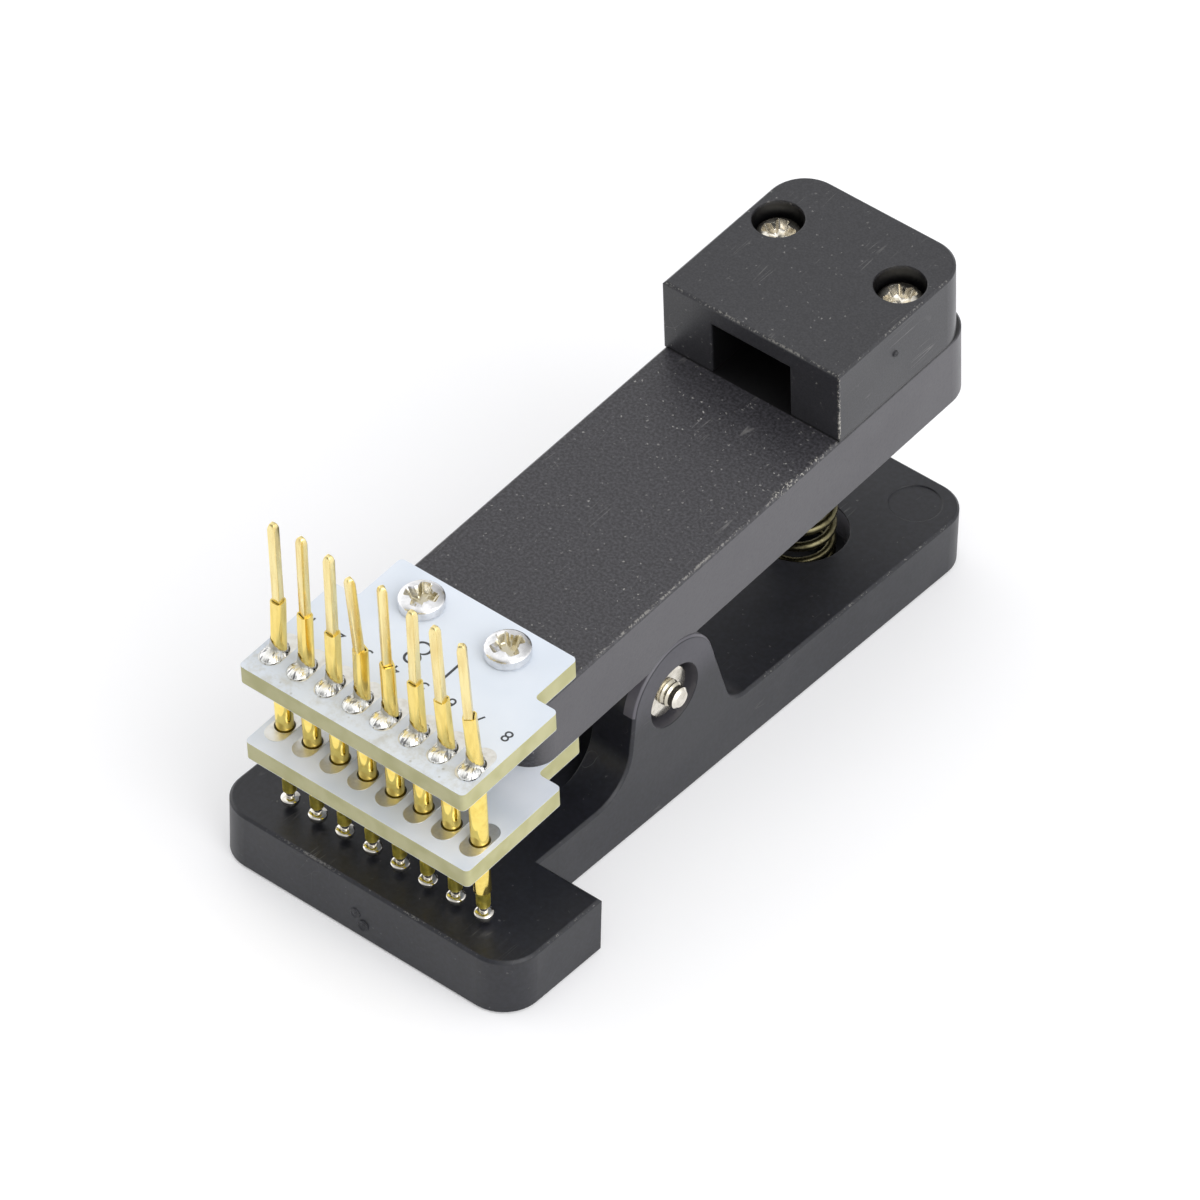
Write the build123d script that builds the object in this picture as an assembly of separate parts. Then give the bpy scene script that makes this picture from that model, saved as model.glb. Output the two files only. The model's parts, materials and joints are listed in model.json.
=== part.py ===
from build123d import *
import math
import os

# Pogo pin programming clip, in millimetres.
# A moulded base and a moulded arm are joined by a pivot screw. A coil spring behind the pivot
# keeps the front closed, where a row of sprung probes stands through two boards and points
# down at the platform that the target board lies on.
# Origin: underside of the base, on the symmetry plane, straight below the pivot.
# +X runs along the probe row, +Y from the probes to the cable end, +Z is up.

# Base moulding
base_t = 5.0  # plate thickness
body_w = 16.0  # width of the body, which the ears, the arm and the cap share
rear_reach = 35.2  # pivot to the rear edge
platform_d = 10.0  # depth of the wide platform at the front
platform_margin = 3.55  # platform edge beyond the boards' wings, each side
front_margin = 2.65  # platform edge ahead of the probe row
corner_r = 3.0  # upright corners in plan
rim_bevel = 0.2  # small bevel of the moulded rims
pivot_z = 10.5  # pivot above the underside
ear_t = 3.6  # thickness of each ear
ear_head_r = 4.5  # round head of an ear
ear_head_rise = 0.3  # middle of the round head above the pivot
ear_front_foot = 5.0  # pivot to the front flank, where it meets the plate
ear_rear_foot = 6.8  # pivot to the rear flank, where it meets the plate
ear_front_fillet = 3.5
ear_rear_fillet = 2.3
eject_mark_d = 4.0  # shallow round marks of the ejector pins
eject_mark_depth = 0.08
eject_mark_x = 4.7
eject_mark_inset = 3.0  # from the rear edge

# Arm moulding
arm_t = 6.0
pivot_drop = 4.35  # pivot below the underside of the arm
probe_reach = 22.15  # pivot to the probe row, along the arm
arm_front_gap = 6.9  # probe row to the front end of the arm
arm_setback = 0.3  # rear end of the arm, short of the base
arm_front_r = 2.3  # upright corners at the front end
head_play = 0.25  # round hollow in the arm around an ear's head
lug_r = 3.9  # round lower end of the lug, about the pivot
lug_root_fillet = 1.5
side_play = 0.2  # lug to each ear

# Pivot screw and nut, M2
pivot_d = 2.0
pivot_hole_play = 0.05  # radial, in the ears and in the lug
thread_play = 0.02  # radial, where a thread holds a screw
pilot_spare = 0.5  # blind hole beyond the end of a screw
sink_d = 5.2  # round sinks in both ears
head_sink_depth = 1.8  # left ear
nut_sink_depth = 2.25  # right ear
pivot_head_d = 3.8
pivot_head_h = 1.5
nut_flats = 4.0
nut_t = 1.6
screw_past_nut = 1.3  # bare end of the thread beyond the nut

# Coil spring that closes the jaw
spring_inset = 10.7  # spring to the rear edge of the base
spring_od = 5.2
spring_wire_d = 0.6
spring_pitch = 2.1
base_sink_d = 7.4
base_sink_depth = 2.5
arm_sink_d = 6.4
arm_sink_depth = 1.5
spring_seat_play = 0.03

# Cable clamp cap
cap_l = 15.4
cap_h = 6.4
cap_setback = 0.6  # rear end of the cap, short of the arm
tunnel_w = 7.2
tunnel_h = 4.8
cap_screw_pitch = 11.1
cap_screw_inset = 5.3  # screw axis to the rear end of the cap
cap_sink_d = 3.9
cap_sink_depth = 2.6

# Small screws in the boards and the cap
screw_d = 2.0
screw_head_d = 3.4
screw_head_h = 1.15
screw_hole_play = 0.1  # radial, in boards and cap
board_screw_l = 4.0
cap_screw_l = 8.0
head_brim_h = 0.45  # upright edge of a pan head
head_crown = 0.68  # radius of the flat crown, as a share of the head's
cross_w = 0.5
cross_l = 1.9
cross_depth = 0.7

# Boards
board_t = 1.6
board_front = 2.87  # probe row to the front edge
wing_rear = 7.3  # probe row to the rear edge of the wings
board_rear = 12.0  # probe row to the rear edge
wing_margin = 1.26  # outermost probe to the wing's end
board_corner_r = 0.4
board_screw_pitch = 7.8
board_screw_inset = 2.6  # screw axis to the rear edge
probe_hole_play = 0.05  # radial, around a receptacle

# Probe row
probe_count = 8
probe_pitch = 2.54
receptacle_d = 1.32
receptacle_bore = 1.04
receptacle_above = 4.85  # rim above the upper board
receptacle_below = 3.35  # mouth below the lower board
post_w = 0.64
post_l = 7.5
post_root_l = 2.0  # pressed in the receptacle's square socket
post_bevel = 0.2
solder_d = 2.3
solder_h = 1.1

# Sprung probe inside a receptacle
barrel_play = 0.01  # radial, barrel in receptacle
barrel_bore = 0.84
barrel_l = 13.0
barrel_show = 1.6  # barrel below the receptacle's mouth
barrel_lip_h = 0.3
barrel_end_t = 0.3
plunger_play = 0.03  # radial, plunger in barrel
shaft_d = 0.66
tail_l = 2.0
held_in = 2.0  # how far the closed jaw already holds a plunger in
probe_travel = 0.55  # what is left of its stroke
travel_spare = 0.1  # head to the barrel when fully pressed
head_d = 1.3
head_band = 0.25
head_flat_d = 0.5  # flat at the end of the domed tip
head_shoulder_d = 1.08
head_shoulder_h = 0.4  # below the middle of the dome
tip_gap = 0.12  # closed tip above the platform
coil_play = 0.04  # around the probe's own spring, which is drawn as a rod

cut_over = 1.0  # how far a cutting tool runs past the face that it opens
slack = 0.001  # allowed where edges are picked by place

# Worked-out places. The arm and all it carries are drawn level in the arm's frame, whose origin
# is the pivot, with y along the arm and z square to it, and then tilted to the closed pose.
row_l = (probe_count - 1) * probe_pitch
wing_w = row_l + 2 * wing_margin
platform_w = wing_w + 2 * platform_margin
front_reach = probe_reach + front_margin
spring_reach = rear_reach - spring_inset
lug_w = body_w - 2 * ear_t - 2 * side_play
arm_bottom = pivot_drop
arm_top = arm_bottom + arm_t
arm_front = arm_front_gap - probe_reach
arm_rear = rear_reach - arm_setback
cap_rear = arm_rear - cap_setback
cap_front = cap_rear - cap_l
upper_top = arm_top + board_t
lower_bottom = arm_bottom - board_t
rim_z = upper_top + receptacle_above
mouth_z = lower_bottom - receptacle_below
barrel_d = receptacle_bore - 2 * barrel_play
barrel_bottom = mouth_z - barrel_show
barrel_top = barrel_bottom + barrel_l
head_top = barrel_bottom - travel_spare - probe_travel
dome_z = head_top - head_band  # centre of the tip's dome
tail_bottom = barrel_bottom + barrel_lip_h + held_in
tail_d = barrel_bore - 2 * plunger_play
pilot_d = screw_d + 2 * thread_play


def closed_tilt():
    """Angle in degrees at which the tips are tip_gap above the platform."""
    drop = pivot_z - (base_t + tip_gap + head_d / 2)
    swing = math.asin(drop / math.hypot(probe_reach, dome_z))
    return math.degrees(swing - math.atan2(-dome_z, probe_reach))


tilt = closed_tilt()
jaw_place = Location((0, 0, pivot_z), (tilt, 0, 0))


def probe_x():
    """Places of the probes along the row."""
    return [i * probe_pitch - row_l / 2 for i in range(probe_count)]


def pillar(d, low, high, x=0.0, y=0.0):
    """Upright cylinder between two heights."""
    return Pos(x, y, low) * Cylinder(d / 2, high - low, align=(Align.CENTER, Align.CENTER, Align.MIN))


def block(x_size, y_low, y_high, z_low, z_high):
    """Block centred across the width, between two places along and two heights."""
    box = Box(x_size, y_high - y_low, z_high - z_low, align=(Align.CENTER, Align.MIN, Align.MIN))
    return Pos(0, y_low, z_low) * box


def cross_bar(d, x_low, x_high, z=0.0):
    """Cylinder across the width, on the pivot's line."""
    bar = Cylinder(d / 2, x_high - x_low, align=(Align.CENTER, Align.CENTER, Align.MIN))
    return Pos(x_low, 0, z) * Rot(0, 90, 0) * bar


def turned(points):
    """Solid of revolution about Z from radius and height points."""
    return revolve(make_face(Plane.XZ * Polyline(*points, close=True)), Axis.Z)


def corners_at(sketch, *lines):
    """Corner points of a sketch that lie on the given y lines."""
    return [v for v in sketch.vertices() if min(abs(v.Y - y) for y in lines) < slack]


# Base
def base_plan():
    """Outline of the base seen from above, a wide platform on a narrow body."""
    wide, narrow, step = platform_w / 2, body_w / 2, platform_d - front_reach
    half = [(wide, -front_reach), (wide, step), (narrow, step), (narrow, rear_reach)]
    outline = make_face(Polyline(*half, *[(-x, y) for x, y in reversed(half)], close=True))
    return fillet(corners_at(outline, -front_reach, rear_reach), corner_r)


def flank_touch(foot_y, side):
    """Point where the flank that rises from a foot touches the ear's round head."""
    middle = pivot_z + ear_head_rise
    rise = base_t - middle
    angle = math.atan2(rise, foot_y) + side * math.acos(ear_head_r / math.hypot(foot_y, rise))
    return ear_head_r * math.cos(angle), middle + ear_head_r * math.sin(angle)


def ear_profile():
    """Side view of an ear on a strip of the plate, with hollow fillets at its feet."""
    front, rear = (-ear_front_foot, base_t), (ear_rear_foot, base_t)
    strip_front = front[0] - ear_front_fillet - cut_over
    strip_rear = rear[0] + ear_rear_fillet + cut_over
    touch_front, touch_rear = flank_touch(front[0], -1), flank_touch(rear[0], 1)
    strip = [(strip_rear, base_t), (strip_rear, 0), (strip_front, 0), (strip_front, base_t)]
    sides = Polyline(touch_rear, rear, *strip, front, touch_front)
    head = ThreePointArc(touch_front, (0, pivot_z + ear_head_rise + ear_head_r), touch_rear)
    profile = make_face([sides, head])
    for foot, radius in ((front, ear_front_fillet), (rear, ear_rear_fillet)):
        corner = profile.vertices().sort_by_distance(Vector(*foot, 0))[0]
        profile = fillet(corner, radius)
    return profile


def rim_edges(solid, plan):
    """Edges that run along the outline of a plan, without the upright seams."""
    outline = plan.faces()[0].outer_wire()

    def on_rim(edge):
        middle = edge.position_at(0.5)
        ends = edge.bounding_box()
        upright = ends.size.X < slack and ends.size.Y < slack
        return not upright and outline.distance_to(Vector(middle.X, middle.Y, 0)) < slack

    return [edge for edge in solid.edges() if on_rim(edge)]


def make_base():
    """Plate with platform, two ears, sinks for the nut, the screw's head and the spring."""
    plan = base_plan()
    body = extrude(plan, base_t)
    profile = ear_profile()
    for side in (-1, 1):
        ear = extrude(Plane.YZ.offset(side * body_w / 2) * profile, -side * ear_t)
        body += ear
    body = chamfer(rim_edges(body, plan), rim_bevel)
    half = body_w / 2
    body -= cross_bar(pivot_d + 2 * pivot_hole_play, -body_w, body_w, pivot_z)
    body -= cross_bar(sink_d, half - nut_sink_depth, half + cut_over, pivot_z)
    body -= cross_bar(sink_d, -half - cut_over, head_sink_depth - half, pivot_z)
    body -= pillar(base_sink_d, base_t - base_sink_depth, base_t + cut_over, y=spring_reach)
    for side in (-1, 1):
        mark = pillar(eject_mark_d, base_t - eject_mark_depth, base_t + cut_over, side * eject_mark_x,
                      rear_reach - eject_mark_inset)
        body -= mark
    return body


def hexagon_bar(flats, x_low, x_high):
    """Six-sided bar along X, with corners above and below."""
    hexagon = RegularPolygon(flats / 2, 6, major_radius=False, rotation=30)
    return extrude(Plane.YZ.offset(x_low) * hexagon, x_high - x_low)


# Pivot hardware
def pan_head(d, h):
    """Domed screw head, seated at height zero, with a cross recess."""
    head = turned([(0, 0), (d / 2, 0), (d / 2, head_brim_h), (head_crown * d / 2, h), (0, h)])
    for turn in (0, 90):
        slot = Box(cross_l, cross_w, cross_depth, align=(Align.CENTER, Align.CENTER, Align.MIN))
        head -= Pos(0, 0, h - cross_depth) * Rot(0, 0, turn) * slot
    return head


def make_pivot_screw():
    """Pan head screw from the left ear through the lug, the right ear and the nut."""
    seat = head_sink_depth - body_w / 2
    end = body_w / 2 - nut_sink_depth + nut_t + screw_past_nut
    head = Pos(seat, 0, pivot_z) * Rot(0, -90, 0) * pan_head(pivot_head_d, pivot_head_h)
    return head + cross_bar(pivot_d, seat, end, pivot_z)


def make_pivot_nut():
    """Hexagon nut in the right ear."""
    floor = body_w / 2 - nut_sink_depth
    nut = Pos(0, 0, pivot_z) * hexagon_bar(nut_flats, floor, floor + nut_t)
    return nut - cross_bar(pivot_d + 2 * thread_play, floor - cut_over, floor + nut_t + cut_over, pivot_z)


# Arm
def arm_sink_y():
    """Place along the arm of the hollow that lies over the spring."""
    return (spring_reach + (arm_bottom + arm_sink_depth) * math.sin(math.radians(tilt))) / math.cos(
        math.radians(tilt))


def arm_plan():
    """Outline of the arm's bar seen from above."""
    middle = (arm_front + arm_rear) / 2
    bar = Pos(0, middle) * Rectangle(body_w, arm_rear - arm_front)
    bar = fillet(corners_at(bar, arm_rear), corner_r)
    return fillet(corners_at(bar, arm_front), arm_front_r)


def lug():
    """Lug that hangs between the ears, round about the pivot and filleted at its root."""
    inside = arm_bottom + lug_root_fillet
    shoulder = lug_r + 2 * lug_root_fillet
    right = [(shoulder, inside), (shoulder, arm_bottom), (lug_r, arm_bottom), (lug_r, 0)]
    outline = Polyline(*[(-y, z) for y, z in reversed(right)], *right)
    profile = make_face([outline, ThreePointArc(right[-1], (0, -lug_r), (-lug_r, 0))])
    for side in (-1, 1):
        corner = profile.vertices().sort_by_distance(Vector(side * lug_r, arm_bottom, 0))[0]
        profile = fillet(corner, lug_root_fillet)
    return extrude(Plane.YZ.offset(-lug_w / 2) * profile, lug_w)


def make_arm():
    """Bar with a lug, hollows for the ears' heads, a sink for the spring and screw holes."""
    plan = arm_plan()
    bar = Pos(0, 0, arm_bottom) * extrude(plan, arm_t)
    bar = chamfer([edge for edge in rim_edges(bar, plan) if edge.center().Z > arm_top - slack], rim_bevel)
    bar -= cross_bar(2 * (ear_head_r + head_play), -body_w, body_w, ear_head_rise)
    bar += lug()
    bar -= cross_bar(pivot_d + 2 * pivot_hole_play, -body_w, body_w)
    bar -= pillar(arm_sink_d, arm_bottom - cut_over, arm_bottom + arm_sink_depth, y=arm_sink_y())
    for x, y in board_screw_places():
        bar -= pillar(pilot_d, arm_bottom - cut_over, arm_top + cut_over, x, y)
    for x, y in cap_screw_places():
        bar -= pillar(pilot_d, arm_top - cap_screw_grip() - pilot_spare, arm_top + cut_over, x, y)
    return bar


# Cable clamp cap
def cap_screw_places():
    """Places of the cap's two screws."""
    return [(side * cap_screw_pitch / 2, cap_rear - cap_screw_inset) for side in (-1, 1)]


def cap_screw_grip():
    """Length of a cap screw inside the arm."""
    return cap_screw_l - (cap_h - cap_sink_depth)


def make_cap():
    """Block with a tunnel for the cables and two sunk screw holes."""
    top = arm_top + cap_h
    plan = Pos(0, (cap_front + cap_rear) / 2) * Rectangle(body_w, cap_l)
    plan = fillet(corners_at(plan, cap_rear), corner_r)
    cap = Pos(0, 0, arm_top) * extrude(plan, cap_h)
    cap = chamfer([edge for edge in rim_edges(cap, plan) if edge.center().Z > top - slack], rim_bevel)
    low, high = arm_top - cut_over, top + cut_over
    cap -= block(tunnel_w, cap_front - cut_over, cap_rear + cut_over, low, arm_top + tunnel_h)
    for x, y in cap_screw_places():
        cap -= pillar(screw_d + 2 * screw_hole_play, low, high, x, y)
        cap -= pillar(cap_sink_d, top - cap_sink_depth, high, x, y)
    return cap


# Small screws
def make_screw(length):
    """Pan head screw with a plain shank, head seated at height zero."""
    return pan_head(screw_head_d, screw_head_h) + pillar(screw_d, -length, 0)


def make_cap_screws():
    """Two screws that hold the cap."""
    seat = arm_top + cap_h - cap_sink_depth
    return [Pos(x, y, seat) * make_screw(cap_screw_l) for x, y in cap_screw_places()]


def board_screw_places():
    """Places of the two screws in each board."""
    y = board_rear - board_screw_inset - probe_reach
    return [(side * board_screw_pitch / 2, y) for side in (-1, 1)]


def make_upper_board_screws():
    """Two screws that hold the upper board on the arm."""
    return [Pos(x, y, upper_top) * make_screw(board_screw_l) for x, y in board_screw_places()]


def make_lower_board_screws():
    """Two screws that hold the lower board under the arm."""
    screw = Rot(180, 0, 0) * make_screw(board_screw_l)
    return [Pos(x, y, lower_bottom) * screw for x, y in board_screw_places()]


# Boards
def board_plan():
    """T-shaped outline with probe holes and screw holes."""
    front, notch, rear = (reach - probe_reach for reach in (-board_front, wing_rear, board_rear))
    half = [(wing_w / 2, front), (wing_w / 2, notch), (body_w / 2, notch), (body_w / 2, rear)]
    outline = make_face(Polyline(*half, *[(-x, y) for x, y in reversed(half)], close=True))
    outline = fillet(outline.vertices(), board_corner_r)
    hole = Circle(receptacle_d / 2 + probe_hole_play)
    outline -= [Pos(x, -probe_reach) * hole for x in probe_x()]
    screw_hole = Circle(screw_d / 2 + screw_hole_play)
    outline -= [Pos(x, y) * screw_hole for x, y in board_screw_places()]
    return outline


def make_board(underside):
    """Board with its underside at a height."""
    return Pos(0, 0, underside) * extrude(board_plan(), board_t)


# Probe row
def make_receptacle(x):
    """Tube soldered in the upper board, with a bore for the probe and a square socket for the post."""
    r, bore, floor = receptacle_d / 2, receptacle_bore / 2, barrel_top + barrel_play
    tube = turned([(0, floor), (bore, floor), (bore, mouth_z), (r, mouth_z), (r, rim_z), (0, rim_z)])
    tube -= block(post_w, -post_w / 2, post_w / 2, rim_z - post_root_l, rim_z + cut_over)
    return Pos(x, -probe_reach, 0) * tube


def make_posts():
    """Square wire posts pressed in the receptacles, with bevelled ends."""
    post = block(post_w, -post_w / 2, post_w / 2, rim_z - post_root_l, rim_z + post_l)
    post = chamfer(post.edges().group_by(Axis.Z)[-1], post_bevel)
    return [Pos(x, -probe_reach, 0) * post for x in probe_x()]


def make_solder():
    """Solder cones around the receptacles, on the upper board."""
    r = receptacle_d / 2
    cone = turned([(r, upper_top), (solder_d / 2, upper_top), (r, upper_top + solder_h)])
    return [Pos(x, -probe_reach, 0) * cone for x in probe_x()]


def make_barrel(x):
    """Probe barrel, closed above, with a lip that keeps the plunger."""
    r, bore, lip = barrel_d / 2, barrel_bore / 2, shaft_d / 2 + plunger_play
    ledge, end = barrel_bottom + barrel_lip_h, barrel_top - barrel_end_t
    tube = turned([(0, barrel_top), (r, barrel_top), (r, barrel_bottom), (lip, barrel_bottom), (lip, ledge),
                   (bore, ledge), (bore, end), (0, end)])
    return Pos(x, -probe_reach, 0) * tube


def make_plunger(x):
    """Plunger with a domed tip below and a guided tail inside the barrel."""
    shaft, head, tail = shaft_d / 2, head_d / 2, tail_d / 2
    tail_top = tail_bottom + tail_l
    tip_z, shoulder_z = dome_z - head, dome_z - head_shoulder_h
    stem = [(0, tail_top), (tail, tail_top), (tail, tail_bottom), (shaft, tail_bottom), (shaft, head_top)]
    tip = [(head, head_top), (head, dome_z), (head_shoulder_d / 2, shoulder_z)]
    tip += [(head_flat_d / 2, tip_z), (0, tip_z)]
    return Pos(x, -probe_reach, 0) * turned(stem + tip)


def make_probe_spring(x):
    """Rod that stands for the fine coil spring between a plunger and its barrel's end."""
    low, high = tail_bottom + tail_l + coil_play, barrel_top - barrel_end_t - coil_play
    return pillar(barrel_bore - 2 * coil_play, low, high, x, -probe_reach)


# Jaw spring
def make_jaw_spring():
    """Upright coil spring with ground ends, between the sinks of the base and the arm."""
    low = base_t - base_sink_depth
    s, c = math.sin(math.radians(tilt)), math.cos(math.radians(tilt))
    roof = pivot_z + arm_sink_y() * s + (arm_bottom + arm_sink_depth) * c
    high = roof - spring_od / 2 * s / c - spring_seat_play
    radius = (spring_od - spring_wire_d) / 2
    path = Helix(spring_pitch, high - low, radius)
    wire = Plane(origin=path @ 0, z_dir=path % 0) * RegularPolygon(spring_wire_d / 2, 6)
    coil = sweep(wire, path=path, is_frenet=True)
    ground = pillar(2 * spring_od, 0, high - low)
    return Pos(0, spring_reach, low) * (coil & ground)


def write(name, shape, place=None):
    """Write one node, from a solid or a list of separate solids."""
    solids = [solid for item in (shape if isinstance(shape, list) else [shape]) for solid in item.solids()]
    if place is not None:
        solids = [place * solid for solid in solids]
    node = solids[0] if len(solids) == 1 else Compound(children=solids)
    node.label = name
    export_step(node, os.path.join("parts", name + ".step"))


def main():
    """Build every piece and write its file."""
    os.makedirs("parts", exist_ok=True)
    write("base", make_base())
    write("pivot_screw", make_pivot_screw())
    write("pivot_nut", make_pivot_nut())
    write("jaw_spring", make_jaw_spring())
    write("arm", make_arm(), jaw_place)
    write("cable_clamp_cap", make_cap(), jaw_place)
    write("cap_screws", make_cap_screws(), jaw_place)
    write("upper_board", make_board(arm_top), jaw_place)
    write("lower_board", make_board(arm_bottom - board_t), jaw_place)
    write("upper_board_screws", make_upper_board_screws(), jaw_place)
    write("lower_board_screws", make_lower_board_screws(), jaw_place)
    write("wire_posts", make_posts(), jaw_place)
    write("solder_joints", make_solder(), jaw_place)
    for number, x in enumerate(probe_x(), 1):
        write(f"receptacle_{number}", make_receptacle(x), jaw_place)
        write(f"probe_barrel_{number}", make_barrel(x), jaw_place)
        write(f"plunger_{number}", make_plunger(x), jaw_place)
        write(f"probe_spring_{number}", make_probe_spring(x), jaw_place)
    print("closed tilt", round(tilt, 4), "arm sink", round(arm_sink_y(), 4))


if __name__ == "__main__":
    main()
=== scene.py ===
"""Dressed model of a pogo pin programming clip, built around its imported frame."""

import json
import logging
import math
from dataclasses import dataclass
from enum import Enum
from typing import Callable, Mapping, Optional, Sequence, Union

import bmesh
import bpy
from mathutils import Matrix, Vector

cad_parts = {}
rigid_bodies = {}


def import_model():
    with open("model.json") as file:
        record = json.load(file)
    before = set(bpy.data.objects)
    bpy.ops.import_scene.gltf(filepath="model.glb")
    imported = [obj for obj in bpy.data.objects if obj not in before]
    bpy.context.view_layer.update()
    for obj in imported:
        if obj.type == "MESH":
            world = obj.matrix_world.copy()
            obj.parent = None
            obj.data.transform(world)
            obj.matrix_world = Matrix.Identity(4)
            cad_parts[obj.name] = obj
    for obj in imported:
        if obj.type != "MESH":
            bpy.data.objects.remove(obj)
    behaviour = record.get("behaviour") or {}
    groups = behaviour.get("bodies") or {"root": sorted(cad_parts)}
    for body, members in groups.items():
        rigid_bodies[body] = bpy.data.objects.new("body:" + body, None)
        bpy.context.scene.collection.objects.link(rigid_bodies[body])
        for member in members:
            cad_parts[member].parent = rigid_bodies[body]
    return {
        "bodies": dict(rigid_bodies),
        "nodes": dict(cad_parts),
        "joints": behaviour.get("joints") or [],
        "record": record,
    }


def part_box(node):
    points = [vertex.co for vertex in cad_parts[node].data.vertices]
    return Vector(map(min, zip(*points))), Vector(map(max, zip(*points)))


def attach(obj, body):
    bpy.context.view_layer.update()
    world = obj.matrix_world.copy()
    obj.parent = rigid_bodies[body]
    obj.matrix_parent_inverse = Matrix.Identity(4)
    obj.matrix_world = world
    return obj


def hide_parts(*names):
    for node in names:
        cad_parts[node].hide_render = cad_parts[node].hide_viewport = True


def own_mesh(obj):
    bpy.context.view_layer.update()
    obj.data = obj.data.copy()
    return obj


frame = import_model()

MM = 0.001  # metres in a millimetre
TURN = 2 * math.pi
PROBES = 8
PITCH = 2.54  # millimetres from one probe to the next
LOG = logging.getLogger("clip")

Object = bpy.types.Object
Material = bpy.types.Material
Profile = Sequence[tuple[float, float]]


class Part(Enum):
    """What an edit mode selection is made of."""

    VERT = "VERT"
    FACE = "FACE"


class Body(Enum):
    """Moving bodies of the frame that pieces ride on."""

    BASE = "base"
    JAW = "jaw"

    @staticmethod
    def plunger(number: int) -> str:
        """Name of the body of one plunger."""
        return f"plunger_{number}"


class Slot(Enum):
    """Material slots of the record."""

    PLASTIC = "black_plastic"
    BOARD = "board"
    GOLD = "gold"
    NICKEL = "nickel"
    TIP = "nickel_tip"
    SPRING = "spring_steel"
    SOLDER = "solder"


# Selection and edit mode


def release() -> None:
    """Leave edit mode and deselect every object."""
    active = bpy.context.view_layer.objects.active
    if active is not None and active.mode != "OBJECT":
        bpy.ops.object.mode_set(mode="OBJECT")
    bpy.ops.object.select_all(action="DESELECT")


def take(obj: Object, *others: Object) -> None:
    """Select only these objects and make the first one active.

    Args:
        obj: The object that becomes active.
        others: More objects to select with it.
    """
    release()
    for item in (obj, *others):
        item.select_set(True)
    bpy.context.view_layer.objects.active = obj


def edit(obj: Object, part: Part = Part.FACE) -> None:
    """Open an object in edit mode with nothing selected.

    Args:
        obj: The mesh object to edit.
        part: What the selection is made of.
    """
    take(obj)
    bpy.ops.object.mode_set(mode="EDIT")
    bpy.ops.mesh.select_mode(type=part.value)
    bpy.ops.mesh.select_all(action="DESELECT")


def pick(obj: Object, part: Part, test: Callable[[Vector, Vector], bool]) -> None:
    """Select, in edit mode, the vertices or faces that pass a test on their place and direction.

    Args:
        obj: The mesh object that is open in edit mode.
        part: What to select.
        test: Takes the middle in millimetres and the normal, and says whether it is wanted.
    """
    bpy.ops.mesh.select_mode(type=part.value)
    bpy.ops.mesh.select_all(action="DESELECT")
    mesh = bmesh.from_edit_mesh(obj.data)
    if part is Part.VERT:
        for vert in mesh.verts:
            if test(vert.co / MM, vert.normal):
                vert.select_set(True)
    else:
        for face in mesh.faces:
            if test(face.calc_center_median() / MM, face.normal):
                face.select_set(True)
    mesh.select_flush_mode()
    bmesh.update_edit_mesh(obj.data)


def named(name: str) -> Object:
    """Give the object that was just added its name.

    Args:
        name: The name of the object and of its mesh.

    Returns:
        The active object.
    """
    obj = bpy.context.view_layer.objects.active
    obj.name = name
    obj.data.name = name
    return obj


def settle(obj: Object, place: Optional[Matrix] = None) -> Object:
    """Put an object's place in its mesh, so that the object sits at the origin.

    Args:
        obj: The object.
        place: A further place to move it by first.

    Returns:
        The same object.
    """
    if place is not None:
        obj.matrix_world = place @ obj.matrix_world
    take(obj)
    bpy.ops.object.transform_apply(location=True, rotation=True, scale=True)
    return obj


def tidy(obj: Object, smooth_angle: float = 35.0) -> Object:
    """Merge doubles, turn the faces outwards and smooth all but the sharp edges.

    Args:
        obj: The mesh object.
        smooth_angle: Edges sharper than this, in degrees, stay sharp.

    Returns:
        The same object.
    """
    edit(obj)
    bpy.ops.mesh.select_all(action="SELECT")
    bpy.ops.mesh.remove_doubles(threshold=1e-7)
    bpy.ops.mesh.normals_make_consistent(inside=False)
    release()
    take(obj)
    bpy.ops.object.shade_smooth_by_angle(angle=math.radians(smooth_angle))
    return obj


def modify(obj: Object, kind: str, **settings: object) -> None:
    """Add a modifier and apply it.

    Args:
        obj: The mesh object.
        kind: The modifier's type.
        settings: The modifier's settings.
    """
    take(obj)
    modifier = obj.modifiers.new(kind.title(), kind)
    for key, value in settings.items():
        setattr(modifier, key, value)
    bpy.ops.object.modifier_apply(modifier=modifier.name)


def soften(obj: Object, width: float, segments: int = 2, angle: float = 35.0) -> None:
    """Round the sharp edges of a piece.

    Args:
        obj: The mesh object.
        width: Width of the rounding in millimetres.
        segments: Faces across the rounding.
        angle: Edges sharper than this, in degrees, are rounded.
    """
    modify(obj, "BEVEL", width=width * MM, segments=segments, limit_method="ANGLE",
           angle_limit=math.radians(angle), use_clamp_overlap=True, harden_normals=False)


def combine(obj: Object, tool: Object, operation: str = "DIFFERENCE") -> None:
    """Cut one closed piece with another, or join the two, and drop the tool.

    Args:
        obj: The piece that stays.
        tool: The piece that is used up.
        operation: DIFFERENCE, UNION or INTERSECT.
    """
    modify(obj, "BOOLEAN", object=tool, operation=operation, solver="EXACT")
    bpy.data.objects.remove(tool)


def copy(obj: Object, name: str, place: Matrix) -> Object:
    """Copy a piece with its own mesh.

    Args:
        obj: The piece to copy.
        name: The copy's name.
        place: Where the copy goes, from where the piece is.

    Returns:
        The copy.
    """
    take(obj)
    bpy.ops.object.duplicate(linked=False)
    return settle(named(name), place)


def join(pieces: Sequence[Object], name: str) -> Object:
    """Join several pieces into one object.

    Args:
        pieces: The pieces, which are used up.
        name: The name of the result.

    Returns:
        The joined object.
    """
    take(*pieces)
    if len(pieces) > 1:
        bpy.ops.object.join()
    return named(name)


# Shapes that several pieces start from


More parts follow.
